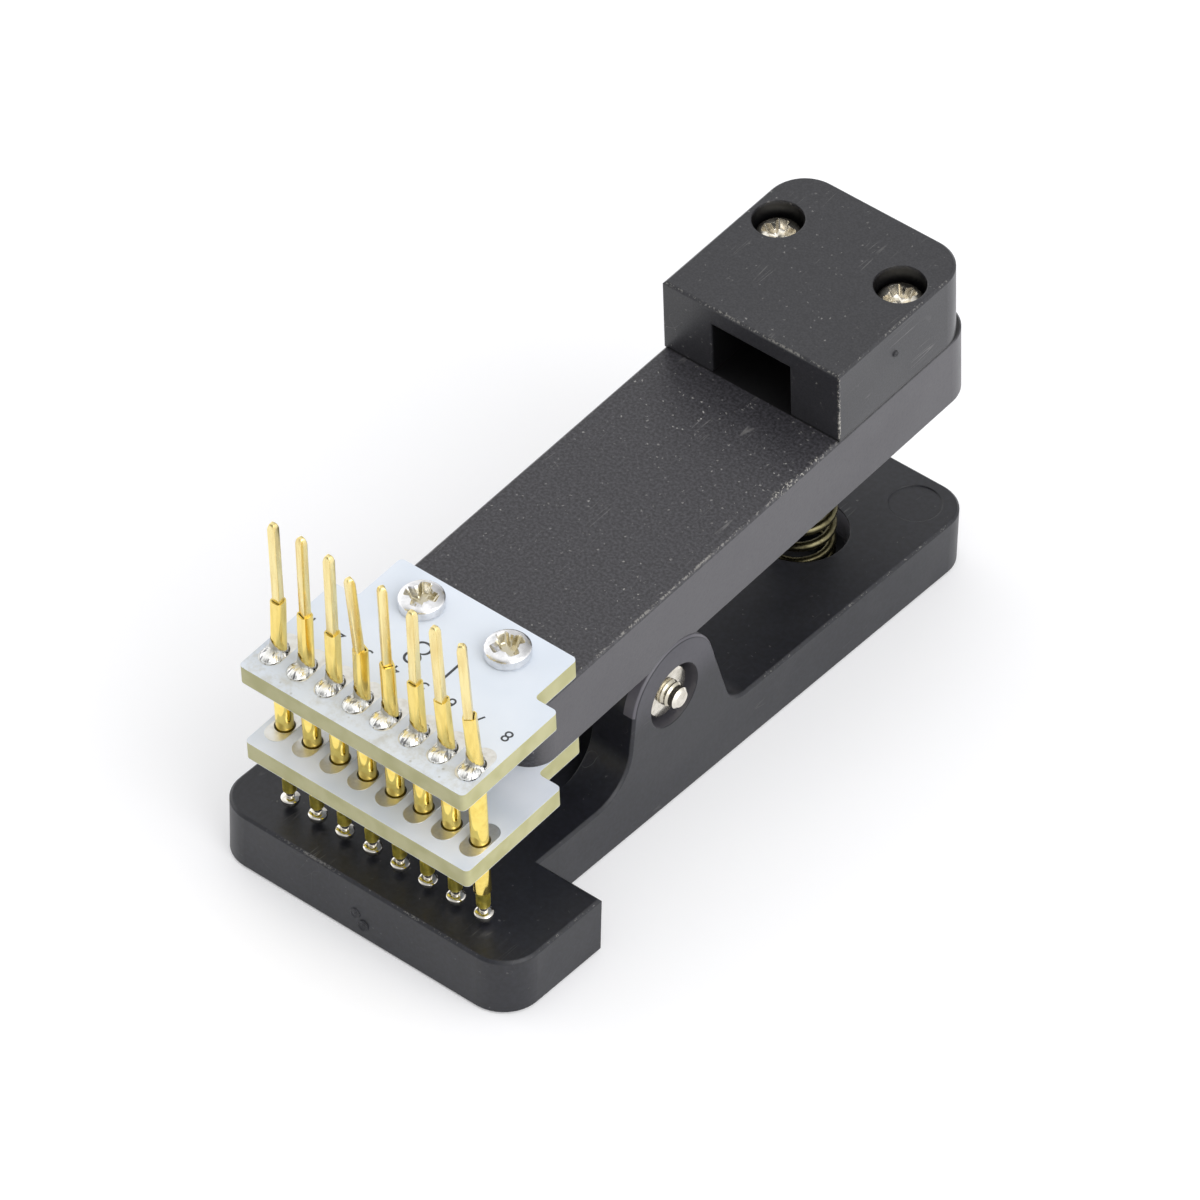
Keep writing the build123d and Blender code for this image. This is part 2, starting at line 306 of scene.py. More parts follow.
def lathe(name: str, profile: Profile, steps: int = 40, closed: bool = False) -> Object:
    """Spin a profile about the Z axis.

    Args:
        name: The piece's name.
        profile: Radius and height points in millimetres, in order.
        steps: Facets round the axis.
        closed: Whether the last point joins the first, as on a tube.

    Returns:
        A smooth closed mesh.
    """
    release()
    bpy.ops.mesh.primitive_plane_add(size=MM, location=(0, 0, 0))
    obj = named(name)
    edit(obj, Part.VERT)
    bpy.ops.mesh.select_all(action="SELECT")
    bpy.ops.mesh.merge(type="CENTER")
    bpy.ops.transform.translate(value=(profile[0][0] * MM, 0, profile[0][1] * MM))
    for (r0, z0), (r1, z1) in zip(profile, profile[1:]):
        step = ((r1 - r0) * MM, 0, (z1 - z0) * MM)
        bpy.ops.mesh.extrude_region_move(TRANSFORM_OT_translate={"value": step})
    if closed:
        first, last = (Vector((r, 0, z)) for r, z in (profile[0], profile[-1]))
        pick(obj, Part.VERT, lambda p, n: min((p - first).length, (p - last).length) < 1e-4)
        bpy.ops.mesh.edge_face_add()
    bpy.ops.mesh.select_all(action="SELECT")
    bpy.ops.mesh.spin(steps=steps, angle=TURN, center=(0, 0, 0), axis=(0, 0, 1))
    return tidy(obj)


def arc(centre: tuple[float, float], radius: float, start: float, end: float, points: int) -> Profile:
    """Points on an arc of a profile.

    Args:
        centre: Radius and height of the arc's middle, in millimetres.
        radius: The arc's radius in millimetres.
        start: First angle in degrees, from the outward direction towards up.
        end: Last angle in degrees.
        points: Number of points.

    Returns:
        The points, in order.
    """
    angles = [math.radians(start + (end - start) * i / (points - 1)) for i in range(points)]
    return [(centre[0] + radius * math.cos(a), centre[1] + radius * math.sin(a)) for a in angles]


def drum(name: str, radius: float, low: float, high: float, steps: int = 48) -> Object:
    """Upright drum between two heights, in millimetres.

    Args:
        name: The piece's name.
        radius: Its radius.
        low: Its lower end.
        high: Its upper end.
        steps: Facets round it.

    Returns:
        The drum.
    """
    release()
    bpy.ops.mesh.primitive_cylinder_add(vertices=steps, radius=radius * MM, depth=(high - low) * MM,
                                        location=(0, 0, (low + high) / 2 * MM))
    return settle(named(name))


def brick(name: str, size: tuple[float, float, float], middle: tuple[float, float, float]) -> Object:
    """Block of a size about a middle, in millimetres.

    Args:
        name: The piece's name.
        size: Lengths along X, Y and Z.
        middle: The middle of the block.

    Returns:
        The block.
    """
    release()
    bpy.ops.mesh.primitive_cube_add(size=1, location=[v * MM for v in middle])
    obj = named(name)
    obj.scale = [v * MM for v in size]
    return settle(obj)


# Frame and jaw


@dataclass
class Span:
    """Box of a CAD node in the arm's level frame, in millimetres."""

    low: Vector
    high: Vector

    @property
    def middle(self) -> Vector:
        """Middle of the box."""
        return (self.low + self.high) / 2


@dataclass
class Jaw:
    """The tilted upper jaw, whose pieces are modelled level about the pivot.

    In the level frame Y runs along the arm and Z square to it, from the pivot, as in the CAD
    source.
    """

    pivot: Vector
    tilt: float

    @classmethod
    def read(cls, packed: Mapping) -> "Jaw":
        """Read the pivot and the closed tilt from the frame's joints.

        Args:
            packed: What the frame's load call returned.

        Returns:
            The jaw.
        """
        joints = {joint["name"]: joint for joint in packed["joints"]}
        axis = joints["plunger_1_slide"]["axis"]
        return cls(Vector(joints["jaw_hinge"]["pos_m"]), math.atan2(-axis[1], axis[2]))

    @property
    def place(self) -> Matrix:
        """Where the level frame stands in the row frame."""
        return Matrix.Translation(self.pivot) @ Matrix.Rotation(self.tilt, 4, "X")

    def span(self, node: str) -> Span:
        """Box of a CAD node in the level frame.

        Args:
            node: The CAD node's name.

        Returns:
            Its box in millimetres.
        """
        back = self.place.inverted()
        points = [back @ vert.co / MM for vert in frame["nodes"][node].data.vertices]
        return Span(Vector([min(p[i] for p in points) for i in range(3)]),
                    Vector([max(p[i] for p in points) for i in range(3)]))

    def fit(self, obj: Object, *nodes: str, body: str = Body.JAW.value) -> Object:
        """Tilt a level piece with the jaw, ride it and let it stand for CAD nodes.

        Args:
            obj: The piece, modelled level.
            nodes: CAD nodes that it stands for.
            body: The body that it rides on.

        Returns:
            The same piece.
        """
        settle(obj, self.place)
        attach(obj, body)
        if nodes:
            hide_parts(*nodes)
        return obj


# Nodes and colours

Node = bpy.types.Node
Tree = bpy.types.NodeTree
Source = Union[bpy.types.Node, bpy.types.NodeSocket]

BELOW, ABOVE = 6, 7  # colour inputs of a Mix node, shown at a factor of 0 and of 1


class Kind(Enum):
    """Kinds of node that the finishes, the floor and the surround are made of."""

    COORDINATES = "ShaderNodeTexCoord"
    MAPPING = "ShaderNodeMapping"
    SPLIT = "ShaderNodeSeparateXYZ"
    MERGE = "ShaderNodeCombineXYZ"
    SPLIT_COLOUR = "ShaderNodeSeparateColor"
    NOISE = "ShaderNodeTexNoise"
    CELLS = "ShaderNodeTexVoronoi"
    MATH = "ShaderNodeMath"
    VECTOR = "ShaderNodeVectorMath"
    RANGE = "ShaderNodeMapRange"
    MIX = "ShaderNodeMix"
    EDGE = "ShaderNodeBevel"
    BUMP = "ShaderNodeBump"
    LIGHT_PATH = "ShaderNodeLightPath"
    SURFACE = "ShaderNodeBsdfPrincipled"
    BACKGROUND = "ShaderNodeBackground"
    OUTPUT = "ShaderNodeOutputMaterial"
    WORLD_OUTPUT = "ShaderNodeOutputWorld"


def colour(code: str) -> tuple[float, float, float, float]:
    """Linear colour of an sRGB hex code.

    Args:
        code: Six hex digits after a hash.

    Returns:
        Linear red, green, blue and a full alpha.
    """
    parts = [int(code[i:i + 2], 16) / 255 for i in (1, 3, 5)]
    linear = [v / 12.92 if v <= 0.04045 else ((v + 0.055) / 1.055) ** 2.4 for v in parts]
    return (linear[0], linear[1], linear[2], 1.0)


def add_node(tree: Tree, kind: Kind, settings: Mapping, links: Mapping) -> Node:
    """Add a node with its settings and links.

    Args:
        tree: The node tree.
        kind: The kind of node.
        settings: Values by property name, or by input name or number.
        links: What feeds the inputs, by their name or number: a socket, a node for its first
            output in use, or nothing to leave the input at its setting.

    Returns:
        The new node.
    """
    node = tree.nodes.new(kind.value)
    for key, value in settings.items():
        if isinstance(key, str) and hasattr(node, key):
            setattr(node, key, value)
        else:
            node.inputs[key].default_value = value
    for key, source in links.items():
        if isinstance(source, Node):
            source = next(output for output in source.outputs if output.enabled)
        if source is not None:
            tree.links.new(source, node.inputs[key])
    return node


def start_material(name: str) -> tuple[Material, Tree]:
    """Make an empty node material.

    Args:
        name: The material's name.

    Returns:
        The material and its node tree.
    """
    material = bpy.data.materials.new(name)
    material.use_nodes = True
    material.node_tree.nodes.clear()
    return material, material.node_tree


def per_metre(size_mm: float) -> float:
    """Texture scale for features of a size in millimetres, on coordinates in metres."""
    return 1 / (size_mm * MM)


def smooth(low: float, high: float, from_value: float = 0.0, to_value: float = 1.0) -> dict:
    """Settings of a range that turns smoothly from one value to another.

    Args:
        low: Where the turn starts.
        high: Where it ends.
        from_value: The result below the turn.
        to_value: The result above it.

    Returns:
        The settings by name.
    """
    return {"interpolation_type": "SMOOTHSTEP", "From Min": low, "From Max": high,
            "To Min": from_value, "To Max": to_value}


def blend(below: Optional[str] = None, above: Optional[str] = None) -> dict:
    """Settings of a mix of two colours.

    Args:
        below: Hex code of the colour at a factor of 0, or none where a link gives it.
        above: Hex code of the colour at a factor of 1, or none where a link gives it.

    Returns:
        The settings by name and number.
    """
    given = {BELOW: below, ABOVE: above}
    return {"data_type": "RGBA", **{key: colour(code) for key, code in given.items() if code}}


def level_place(tree: Tree, jaw: Optional[Jaw] = None) -> Node:
    """Object coordinates in metres, turned level with the jaw where one is given.

    Args:
        tree: The node tree.
        jaw: The jaw, or none for the row frame.

    Returns:
        The node that gives the place.
    """
    source = add_node(tree, Kind.COORDINATES, {}, {})
    back = jaw.place.inverted() if jaw is not None else Matrix()
    return add_node(tree, Kind.MAPPING, {"Location": back.to_translation(), "Rotation": back.to_euler()},
                    {"Vector": source.outputs["Object"]})


# Finishes


@dataclass(frozen=True)
class Mark:
    """Box-shaped place that shows another colour: its middle and half lengths, in millimetres."""

    middle: tuple[float, float, float]
    half: tuple[float, float, float]
    # The near-black default is for painted shade in tunnels, sinks and gaps
    shade: str = "#0c0b0d"
    soft: float = 0.3  # length over which it fades in from its sides
    broken: float = 0.0  # 0 for an even colour, towards 1 for fewer and smaller flecks
    fleck_mm: float = 0.2
    patch_mm: float = 3.0  # size of the patches with more flecks

    def share(self, tree: Tree, where: Source) -> Node:
        """How much of the colour shows at a place.

        Args:
            tree: The node tree.
            where: Coordinates in metres.

        Returns:
            The node that gives the share.
        """
        axes = add_node(tree, Kind.SPLIT, {}, {"Vector": where}).outputs
        inside: Optional[Node] = None
        for axis, middle, half in zip(axes, self.middle, self.half):
            aside = add_node(tree, Kind.MATH, {"operation": "SUBTRACT", 1: middle * MM}, {0: axis})
            apart = add_node(tree, Kind.MATH, {"operation": "ABSOLUTE"}, {0: aside})
            near = add_node(tree, Kind.RANGE, smooth((half - self.soft) * MM, half * MM, 1.0, 0.0),
                            {"Value": apart})
            inside = add_node(tree, Kind.MATH, {"operation": "MULTIPLY", 1: 1.0}, {0: near, 1: inside})
        if not self.broken:
            return inside
        fine = add_node(tree, Kind.NOISE,
                        {"Scale": per_metre(self.fleck_mm), "Detail": 3.0, "Roughness": 0.7},
                        {"Vector": where})
        coarse = add_node(tree, Kind.NOISE, {"Scale": per_metre(self.patch_mm), "Detail": 1.0},
                          {"Vector": where})
        uneven = add_node(tree, Kind.MATH, {"operation": "MULTIPLY_ADD", 1: 0.4}, {0: coarse, 2: fine})
        level = 0.56 + 0.28 * self.broken
        flecks = add_node(tree, Kind.RANGE, smooth(level - 0.02, level + 0.05), {"Value": uneven})
        return add_node(tree, Kind.MATH, {"operation": "MULTIPLY"}, {0: flecks, 1: inside})


def painted(tree: Tree, where: Source, tone: Node, marks: Sequence[Mark]) -> Node:
    """Lay marks over a colour.

    Args:
        tree: The node tree.
        where: Coordinates in metres.
        tone: The colour below.
        marks: The marks, the last one on top.

    Returns:
        The node that gives the colour with the marks.
    """
    for mark in marks:
        tone = add_node(tree, Kind.MIX, blend(above=mark.shade),
                        {0: mark.share(tree, where), BELOW: tone})
    return tone


@dataclass(frozen=True)
class MouldedAbs:
    """Black ABS from a spark-eroded mould: matt, finely pitted, with dust in the pits, and a painted
    sheen on given side walls.
    """

    name: str
    shade: str = "#242327"
    pale: str = "#444348"
    dust_shade: str = "#a9a7a4"
    roughness: float = 0.46
    grain_mm: float = 0.22  # coarser than real eroded grain, so that it shows in the render
    cloud_mm: float = 6.0  # size of the duller and shinier clouds
    pit_mm: float = 0.03  # depth of the pits
    dust: float = 0.5
    scratches: float = 0.5
    side_shade: Optional[str] = None  # paler colour painted on the side walls as a painted sheen of the light from the sides
    side_above: float = -100.0  # height in millimetres from which the painted sheen shows on the side walls
    side_fade: float = 2.0  # half of the height over which they turn
    marks: tuple[Mark, ...] = ()
    edge_round_mm: float = 0.16
    # Width of a net's cells in millimetres, and the share of it that a speck reaches
    specks: tuple[tuple[float, float], ...] = ((0.36, 0.27), (0.7, 0.15), (1.7, 0.07))
    waver_mm: float = 0.14  # size of the ragged outlines of the specks
    ragged_mm: float = 0.3
    scratch_mm: float = 1.6
    scratch_turns: tuple[float, ...] = (0.5, 2.1)

    def build(self, jaw: Optional[Jaw] = None) -> Material:
        """Make the material.

        Args:
            jaw: The jaw, for pieces that are tilted with it.

        Returns:
            The material.
        """
        material, tree = start_material(self.name)
        where = level_place(tree, jaw)
        grain = add_node(tree, Kind.NOISE,
                         {"Scale": per_metre(self.grain_mm), "Detail": 3.0, "Roughness": 0.6},
                         {"Vector": where})
        raised = add_node(tree, Kind.RANGE, smooth(0.32, 0.72), {"Value": grain})
        tone = add_node(tree, Kind.MIX, blend(self.shade, self.pale), {0: raised})
        dusty = add_node(tree, Kind.MATH, {"operation": "MAXIMUM"},
                         {0: self.dust_specks(tree, where), 1: self.lines(tree, where)})
        # Painted sheen: the side walls turn paler, for the light that they catch from the sides, and
        # show less dust
        if self.side_shade is not None:
            sheen_grain = add_node(tree, Kind.RANGE, smooth(0.25, 0.6, 0.8, 1.0), {"Value": grain})
            wall = add_node(tree, Kind.MATH, {"operation": "MULTIPLY"},
                            {0: self.sides(tree, where), 1: sheen_grain})
            tone = add_node(tree, Kind.MIX, blend(above=self.side_shade), {0: wall, BELOW: tone})
            held = add_node(tree, Kind.RANGE, smooth(0.0, 1.0, 1.0, 0.2), {"Value": wall})
            dusty = add_node(tree, Kind.MATH, {"operation": "MULTIPLY"}, {0: dusty, 1: held})
        tone = add_node(tree, Kind.MIX, blend(above=self.dust_shade), {0: dusty, BELOW: tone})
        tone = painted(tree, where, tone, self.marks)
        cloud = add_node(tree, Kind.NOISE, {"Scale": per_metre(self.cloud_mm), "Detail": 3.0},
                         {"Vector": where})
        sheen = smooth(0.3, 0.7, self.roughness - 0.04, self.roughness + 0.05)
        uneven = add_node(tree, Kind.RANGE, sheen, {"Value": cloud})
        rough = add_node(tree, Kind.MATH, {"operation": "MULTIPLY_ADD", 1: 0.25}, {0: dusty, 2: uneven})
        edge = add_node(tree, Kind.EDGE, {"samples": 6, "Radius": self.edge_round_mm * MM}, {})
        bump = add_node(tree, Kind.BUMP, {"Strength": 0.4, "Distance": self.pit_mm * MM},
                        {"Height": grain, "Normal": edge})
        shader = add_node(tree, Kind.SURFACE, {"IOR": 1.53},
                          {"Base Color": tone, "Roughness": rough, "Normal": bump})
        add_node(tree, Kind.OUTPUT, {}, {"Surface": shader})
        return material

    def sides(self, tree: Tree, where: Source) -> Node:
        """Side walls with a painted sheen: paler than the other faces, for the light that they catch
        from the sides.

        Args:
            tree: The node tree.
            where: Coordinates in metres.

        Returns:
            The node that gives how much the paler colour shows.
        """
        normal = add_node(tree, Kind.COORDINATES, {}, {}).outputs["Normal"]
        across = add_node(tree, Kind.SPLIT, {}, {"Vector": normal}).outputs["X"]
        steep = add_node(tree, Kind.MATH, {"operation": "ABSOLUTE"}, {0: across})
        wall = add_node(tree, Kind.RANGE, smooth(0.6, 0.95), {"Value": steep})
        height = add_node(tree, Kind.SPLIT, {}, {"Vector": where}).outputs["Z"]
        turn = smooth((self.side_above - self.side_fade) * MM, (self.side_above + self.side_fade) * MM)
        high = add_node(tree, Kind.RANGE, turn, {"Value": height})
        return add_node(tree, Kind.MATH, {"operation": "MULTIPLY"}, {0: wall, 1: high})

    def dust_specks(self, tree: Tree, where: Source) -> Node:
        """Sparse ragged specks of pale dust, one in some of the cells of three loose nets.

        Args:
            tree: The node tree.
            where: Coordinates in metres.

        Returns:
            The node that gives how much dust shows.
        """
        waver = add_node(tree, Kind.NOISE, {"Scale": per_metre(self.waver_mm), "Detail": 1.0},
                         {"Vector": where})
        offset = add_node(tree, Kind.VECTOR, {"operation": "SCALE", "Scale": self.ragged_mm * MM},
                          {0: waver.outputs["Color"]})
        ragged = add_node(tree, Kind.VECTOR, {"operation": "ADD"}, {0: where, 1: offset})
        total: Optional[Node] = None
        for spacing, reach in self.specks:
            cells = add_node(tree, Kind.CELLS, {"Scale": per_metre(spacing), "Randomness": 1.0},
                             {"Vector": ragged})
            near = add_node(tree, Kind.RANGE, smooth(reach * 0.4, reach, 1.0, 0.0),
                            {"Value": cells.outputs["Distance"]})
            chance = add_node(tree, Kind.SPLIT_COLOUR, {}, {"Color": cells.outputs["Color"]})
            some = add_node(tree, Kind.RANGE, smooth(1.0 - 0.3 * self.dust, 1.0), {"Value": chance})
            spots = add_node(tree, Kind.MATH, {"operation": "MULTIPLY"}, {0: near, 1: some})
            total = add_node(tree, Kind.MATH, {"operation": "MAXIMUM", 1: 0.0}, {0: spots, 1: total})
        cloud = add_node(tree, Kind.NOISE, {"Scale": per_metre(self.cloud_mm * 1.5)}, {"Vector": where})
        thick = add_node(tree, Kind.RANGE, smooth(0.3, 0.7, 0.25 * self.dust, self.dust),
                         {"Value": cloud})
        return add_node(tree, Kind.MATH, {"operation": "MULTIPLY"}, {0: total, 1: thick})

    def lines(self, tree: Tree, where: Source) -> Node:
        """Faint hairline scratches in two directions.

        Args:
            tree: The node tree.
            where: Coordinates in metres.

        Returns:
            The node that gives how much the scratches show.
        """
        total: Optional[Node] = None
        for turn in self.scratch_turns:
            drawn = add_node(tree, Kind.MAPPING, {"Rotation": (0, 0, turn), "Scale": (1.0, 0.04, 1.0)},
                             {"Vector": where})
            wave = add_node(tree, Kind.NOISE, {"Scale": per_metre(self.scratch_mm), "Detail": 0.0},
                            {"Vector": drawn})
            aside = add_node(tree, Kind.MATH, {"operation": "SUBTRACT", 1: 0.5}, {0: wave})
            apart = add_node(tree, Kind.MATH, {"operation": "ABSOLUTE"}, {0: aside})
            thin = add_node(tree, Kind.RANGE, smooth(0.0, 0.006, 1.0, 0.0), {"Value": apart})
            total = add_node(tree, Kind.MATH, {"operation": "MAXIMUM", 1: 0.0}, {0: thin, 1: total})
        cloud = add_node(tree, Kind.NOISE, {"Scale": per_metre(self.cloud_mm / 2)}, {"Vector": where})
        patches = add_node(tree, Kind.RANGE, smooth(0.56, 0.72, 0.0, self.scratches), {"Value": cloud})
        return add_node(tree, Kind.MATH, {"operation": "MULTIPLY"}, {0: total, 1: patches})


@dataclass(frozen=True)
class PlatedMetal:
    """Plated or bare metal: its colour, how sharp its reflections are and how even they look."""

    name: str
    shade: str
    dark: str
    roughness: float
    patch_mm: float = 0.5  # size of the paler and darker patches
    streak: float = 1.0  # 1 for round patches, smaller for patches drawn out along the pins
    ripple_mm: float = 0.004  # height of the ripples
    ripple_size_mm: float = 0.4  # wider than real ripples, so that they show in the render
    dull_above: Optional[float] = None  # level height from which handling has dulled the metal
    dull_fade: float = 0.5
    dull_shade: str = "#f2da84"
    dull_dark: str = "#e9cf78"
    dull_roughness: float = 0.22
    stain_mm: float = 0.3  # size of the stains, which are drawn out along the pins
    marks: tuple[Mark, ...] = ()

    def build(self, jaw: Optional[Jaw] = None) -> Material:
        """Make the material.

        Args:
            jaw: The jaw, for a finish that changes with the height in it.

        Returns:
            The material.
        """
        material, tree = start_material(self.name)
        level = level_place(tree, jaw)
        where = add_node(tree, Kind.MAPPING, {"Scale": (1.0, 1.0, self.streak)}, {"Vector": level})
        patch = add_node(tree, Kind.NOISE, {"Scale": per_metre(self.patch_mm), "Detail": 3.0},
                         {"Vector": where})
        dim = add_node(tree, Kind.RANGE, smooth(0.35, 0.75), {"Value": patch})
        tone = add_node(tree, Kind.MIX, blend(self.shade, self.dark), {0: dim})
        rough = add_node(tree, Kind.RANGE, smooth(0.3, 0.8, self.roughness * 0.8, self.roughness * 1.4),
                         {"Value": patch})
        if self.dull_above is not None:
            height = add_node(tree, Kind.SPLIT, {}, {"Vector": level}).outputs["Z"]
            turn = smooth(self.dull_above * MM, (self.dull_above + self.dull_fade) * MM)
            high = add_node(tree, Kind.RANGE, turn, {"Value": height})
            drawn = add_node(tree, Kind.MAPPING, {"Scale": (1.0, 1.0, 0.2)}, {"Vector": level})
            stain = add_node(tree, Kind.NOISE, {"Scale": per_metre(self.stain_mm)}, {"Vector": drawn})
            stained = add_node(tree, Kind.RANGE, smooth(0.4, 0.7), {"Value": stain})
            dull = add_node(tree, Kind.MIX, blend(self.dull_shade, self.dull_dark), {0: stained})
            tone = add_node(tree, Kind.MIX, blend(), {0: high, BELOW: tone, ABOVE: dull})
            least = add_node(tree, Kind.MATH, {"operation": "MULTIPLY", 1: self.dull_roughness},
                             {0: high})
            rough = add_node(tree, Kind.MATH, {"operation": "MAXIMUM"}, {0: rough, 1: least})
        ripple = add_node(tree, Kind.NOISE, {"Scale": per_metre(self.ripple_size_mm), "Detail": 1.0},
                          {"Vector": where})
        bump = add_node(tree, Kind.BUMP, {"Strength": 1.0, "Distance": self.ripple_mm * MM},
                        {"Height": ripple})
        tone = painted(tree, level, tone, self.marks)
        shader = add_node(tree, Kind.SURFACE, {"Metallic": 1.0},
                          {"Base Color": tone, "Roughness": rough, "Normal": bump})
        add_node(tree, Kind.OUTPUT, {}, {"Surface": shader})
        return material


@dataclass(frozen=True)
class WettedSolder:
    """Tin solder: bright, wrinkled in lines that fan out from the tube, with painted shade along the
    wrinkles, greyer where it climbs.
    """

    name: str
    row_y: float
    board_top: float
    bright: str = "#f0f0ed"
    grey: str = "#c4c1b6"
    # Darker colour painted along the wrinkles: painted shade of the creases
    crease: str = "#8b8b8d"
    wrinkle_mm: float = 0.16  # spacing of the wrinkles, a millimetre from the tube's middle
    depth_mm: float = 0.06

    def build(self, jaw: Jaw) -> Material:
        """Make the material.

        Args:
            jaw: The jaw that carries the joints.

        Returns:
            The material.
        """
        material, tree = start_material(self.name)
        axes = add_node(tree, Kind.SPLIT, {}, {"Vector": level_place(tree, jaw)}).outputs
        pitches = add_node(tree, Kind.MATH, {"operation": "DIVIDE", 1: PITCH * MM}, {0: axes["X"]})
        place = add_node(tree, Kind.MATH, {"operation": "ADD", 1: PROBES / 2}, {0: pitches})
        number = add_node(tree, Kind.MATH, {"operation": "FLOOR"}, {0: place})
        share = add_node(tree, Kind.MATH, {"operation": "SUBTRACT"}, {0: place, 1: number})
        centred = add_node(tree, Kind.MATH, {"operation": "SUBTRACT", 1: 0.5}, {0: share})
        aside = add_node(tree, Kind.MATH, {"operation": "MULTIPLY", 1: PITCH * MM}, {0: centred})
        ahead = add_node(tree, Kind.MATH, {"operation": "SUBTRACT", 0: self.row_y * MM}, {1: axes["Y"]})
        angle = add_node(tree, Kind.MATH, {"operation": "ARCTAN2"}, {0: aside, 1: ahead})
        wide = add_node(tree, Kind.MATH, {"operation": "MULTIPLY"}, {0: aside, 1: aside})
        long = add_node(tree, Kind.MATH, {"operation": "MULTIPLY"}, {0: ahead, 1: ahead})
        square = add_node(tree, Kind.MATH, {"operation": "ADD"}, {0: wide, 1: long})
        apart = add_node(tree, Kind.MATH, {"operation": "SQRT"}, {0: square})
        round_tube = add_node(tree, Kind.MATH, {"operation": "MULTIPLY", 1: MM}, {0: angle})
        outward = add_node(tree, Kind.MATH, {"operation": "MULTIPLY", 1: 0.25}, {0: apart})
        unrolled = add_node(tree, Kind.MERGE, {}, {"X": round_tube, "Y": outward, "Z": number})
        wrinkles = add_node(tree, Kind.NOISE, {"Scale": per_metre(self.wrinkle_mm), "Detail": 1.5},
                            {"Vector": unrolled})
        climb = smooth((self.board_top + 0.4) * MM, (self.board_top + 0.65) * MM)
        high = add_node(tree, Kind.RANGE, climb, {"Value": axes["Z"]})
        tone = add_node(tree, Kind.MIX, blend(self.bright, self.grey), {0: high})
        # Painted shade along the wrinkles
        shaded_crease = add_node(tree, Kind.RANGE, smooth(0.56, 0.64), {"Value": wrinkles})
        tone = add_node(tree, Kind.MIX, blend(above=self.crease), {0: shaded_crease, BELOW: tone})
        rough = add_node(tree, Kind.RANGE, smooth(0.0, 1.0, 0.27, 0.4), {"Value": high})
        bump = add_node(tree, Kind.BUMP, {"Strength": 1.0, "Distance": self.depth_mm * MM},
                        {"Height": wrinkles})
        shader = add_node(tree, Kind.SURFACE, {"Metallic": 1.0},
                          {"Base Color": tone, "Roughness": rough, "Normal": bump})
        add_node(tree, Kind.OUTPUT, {}, {"Surface": shader})
        return material


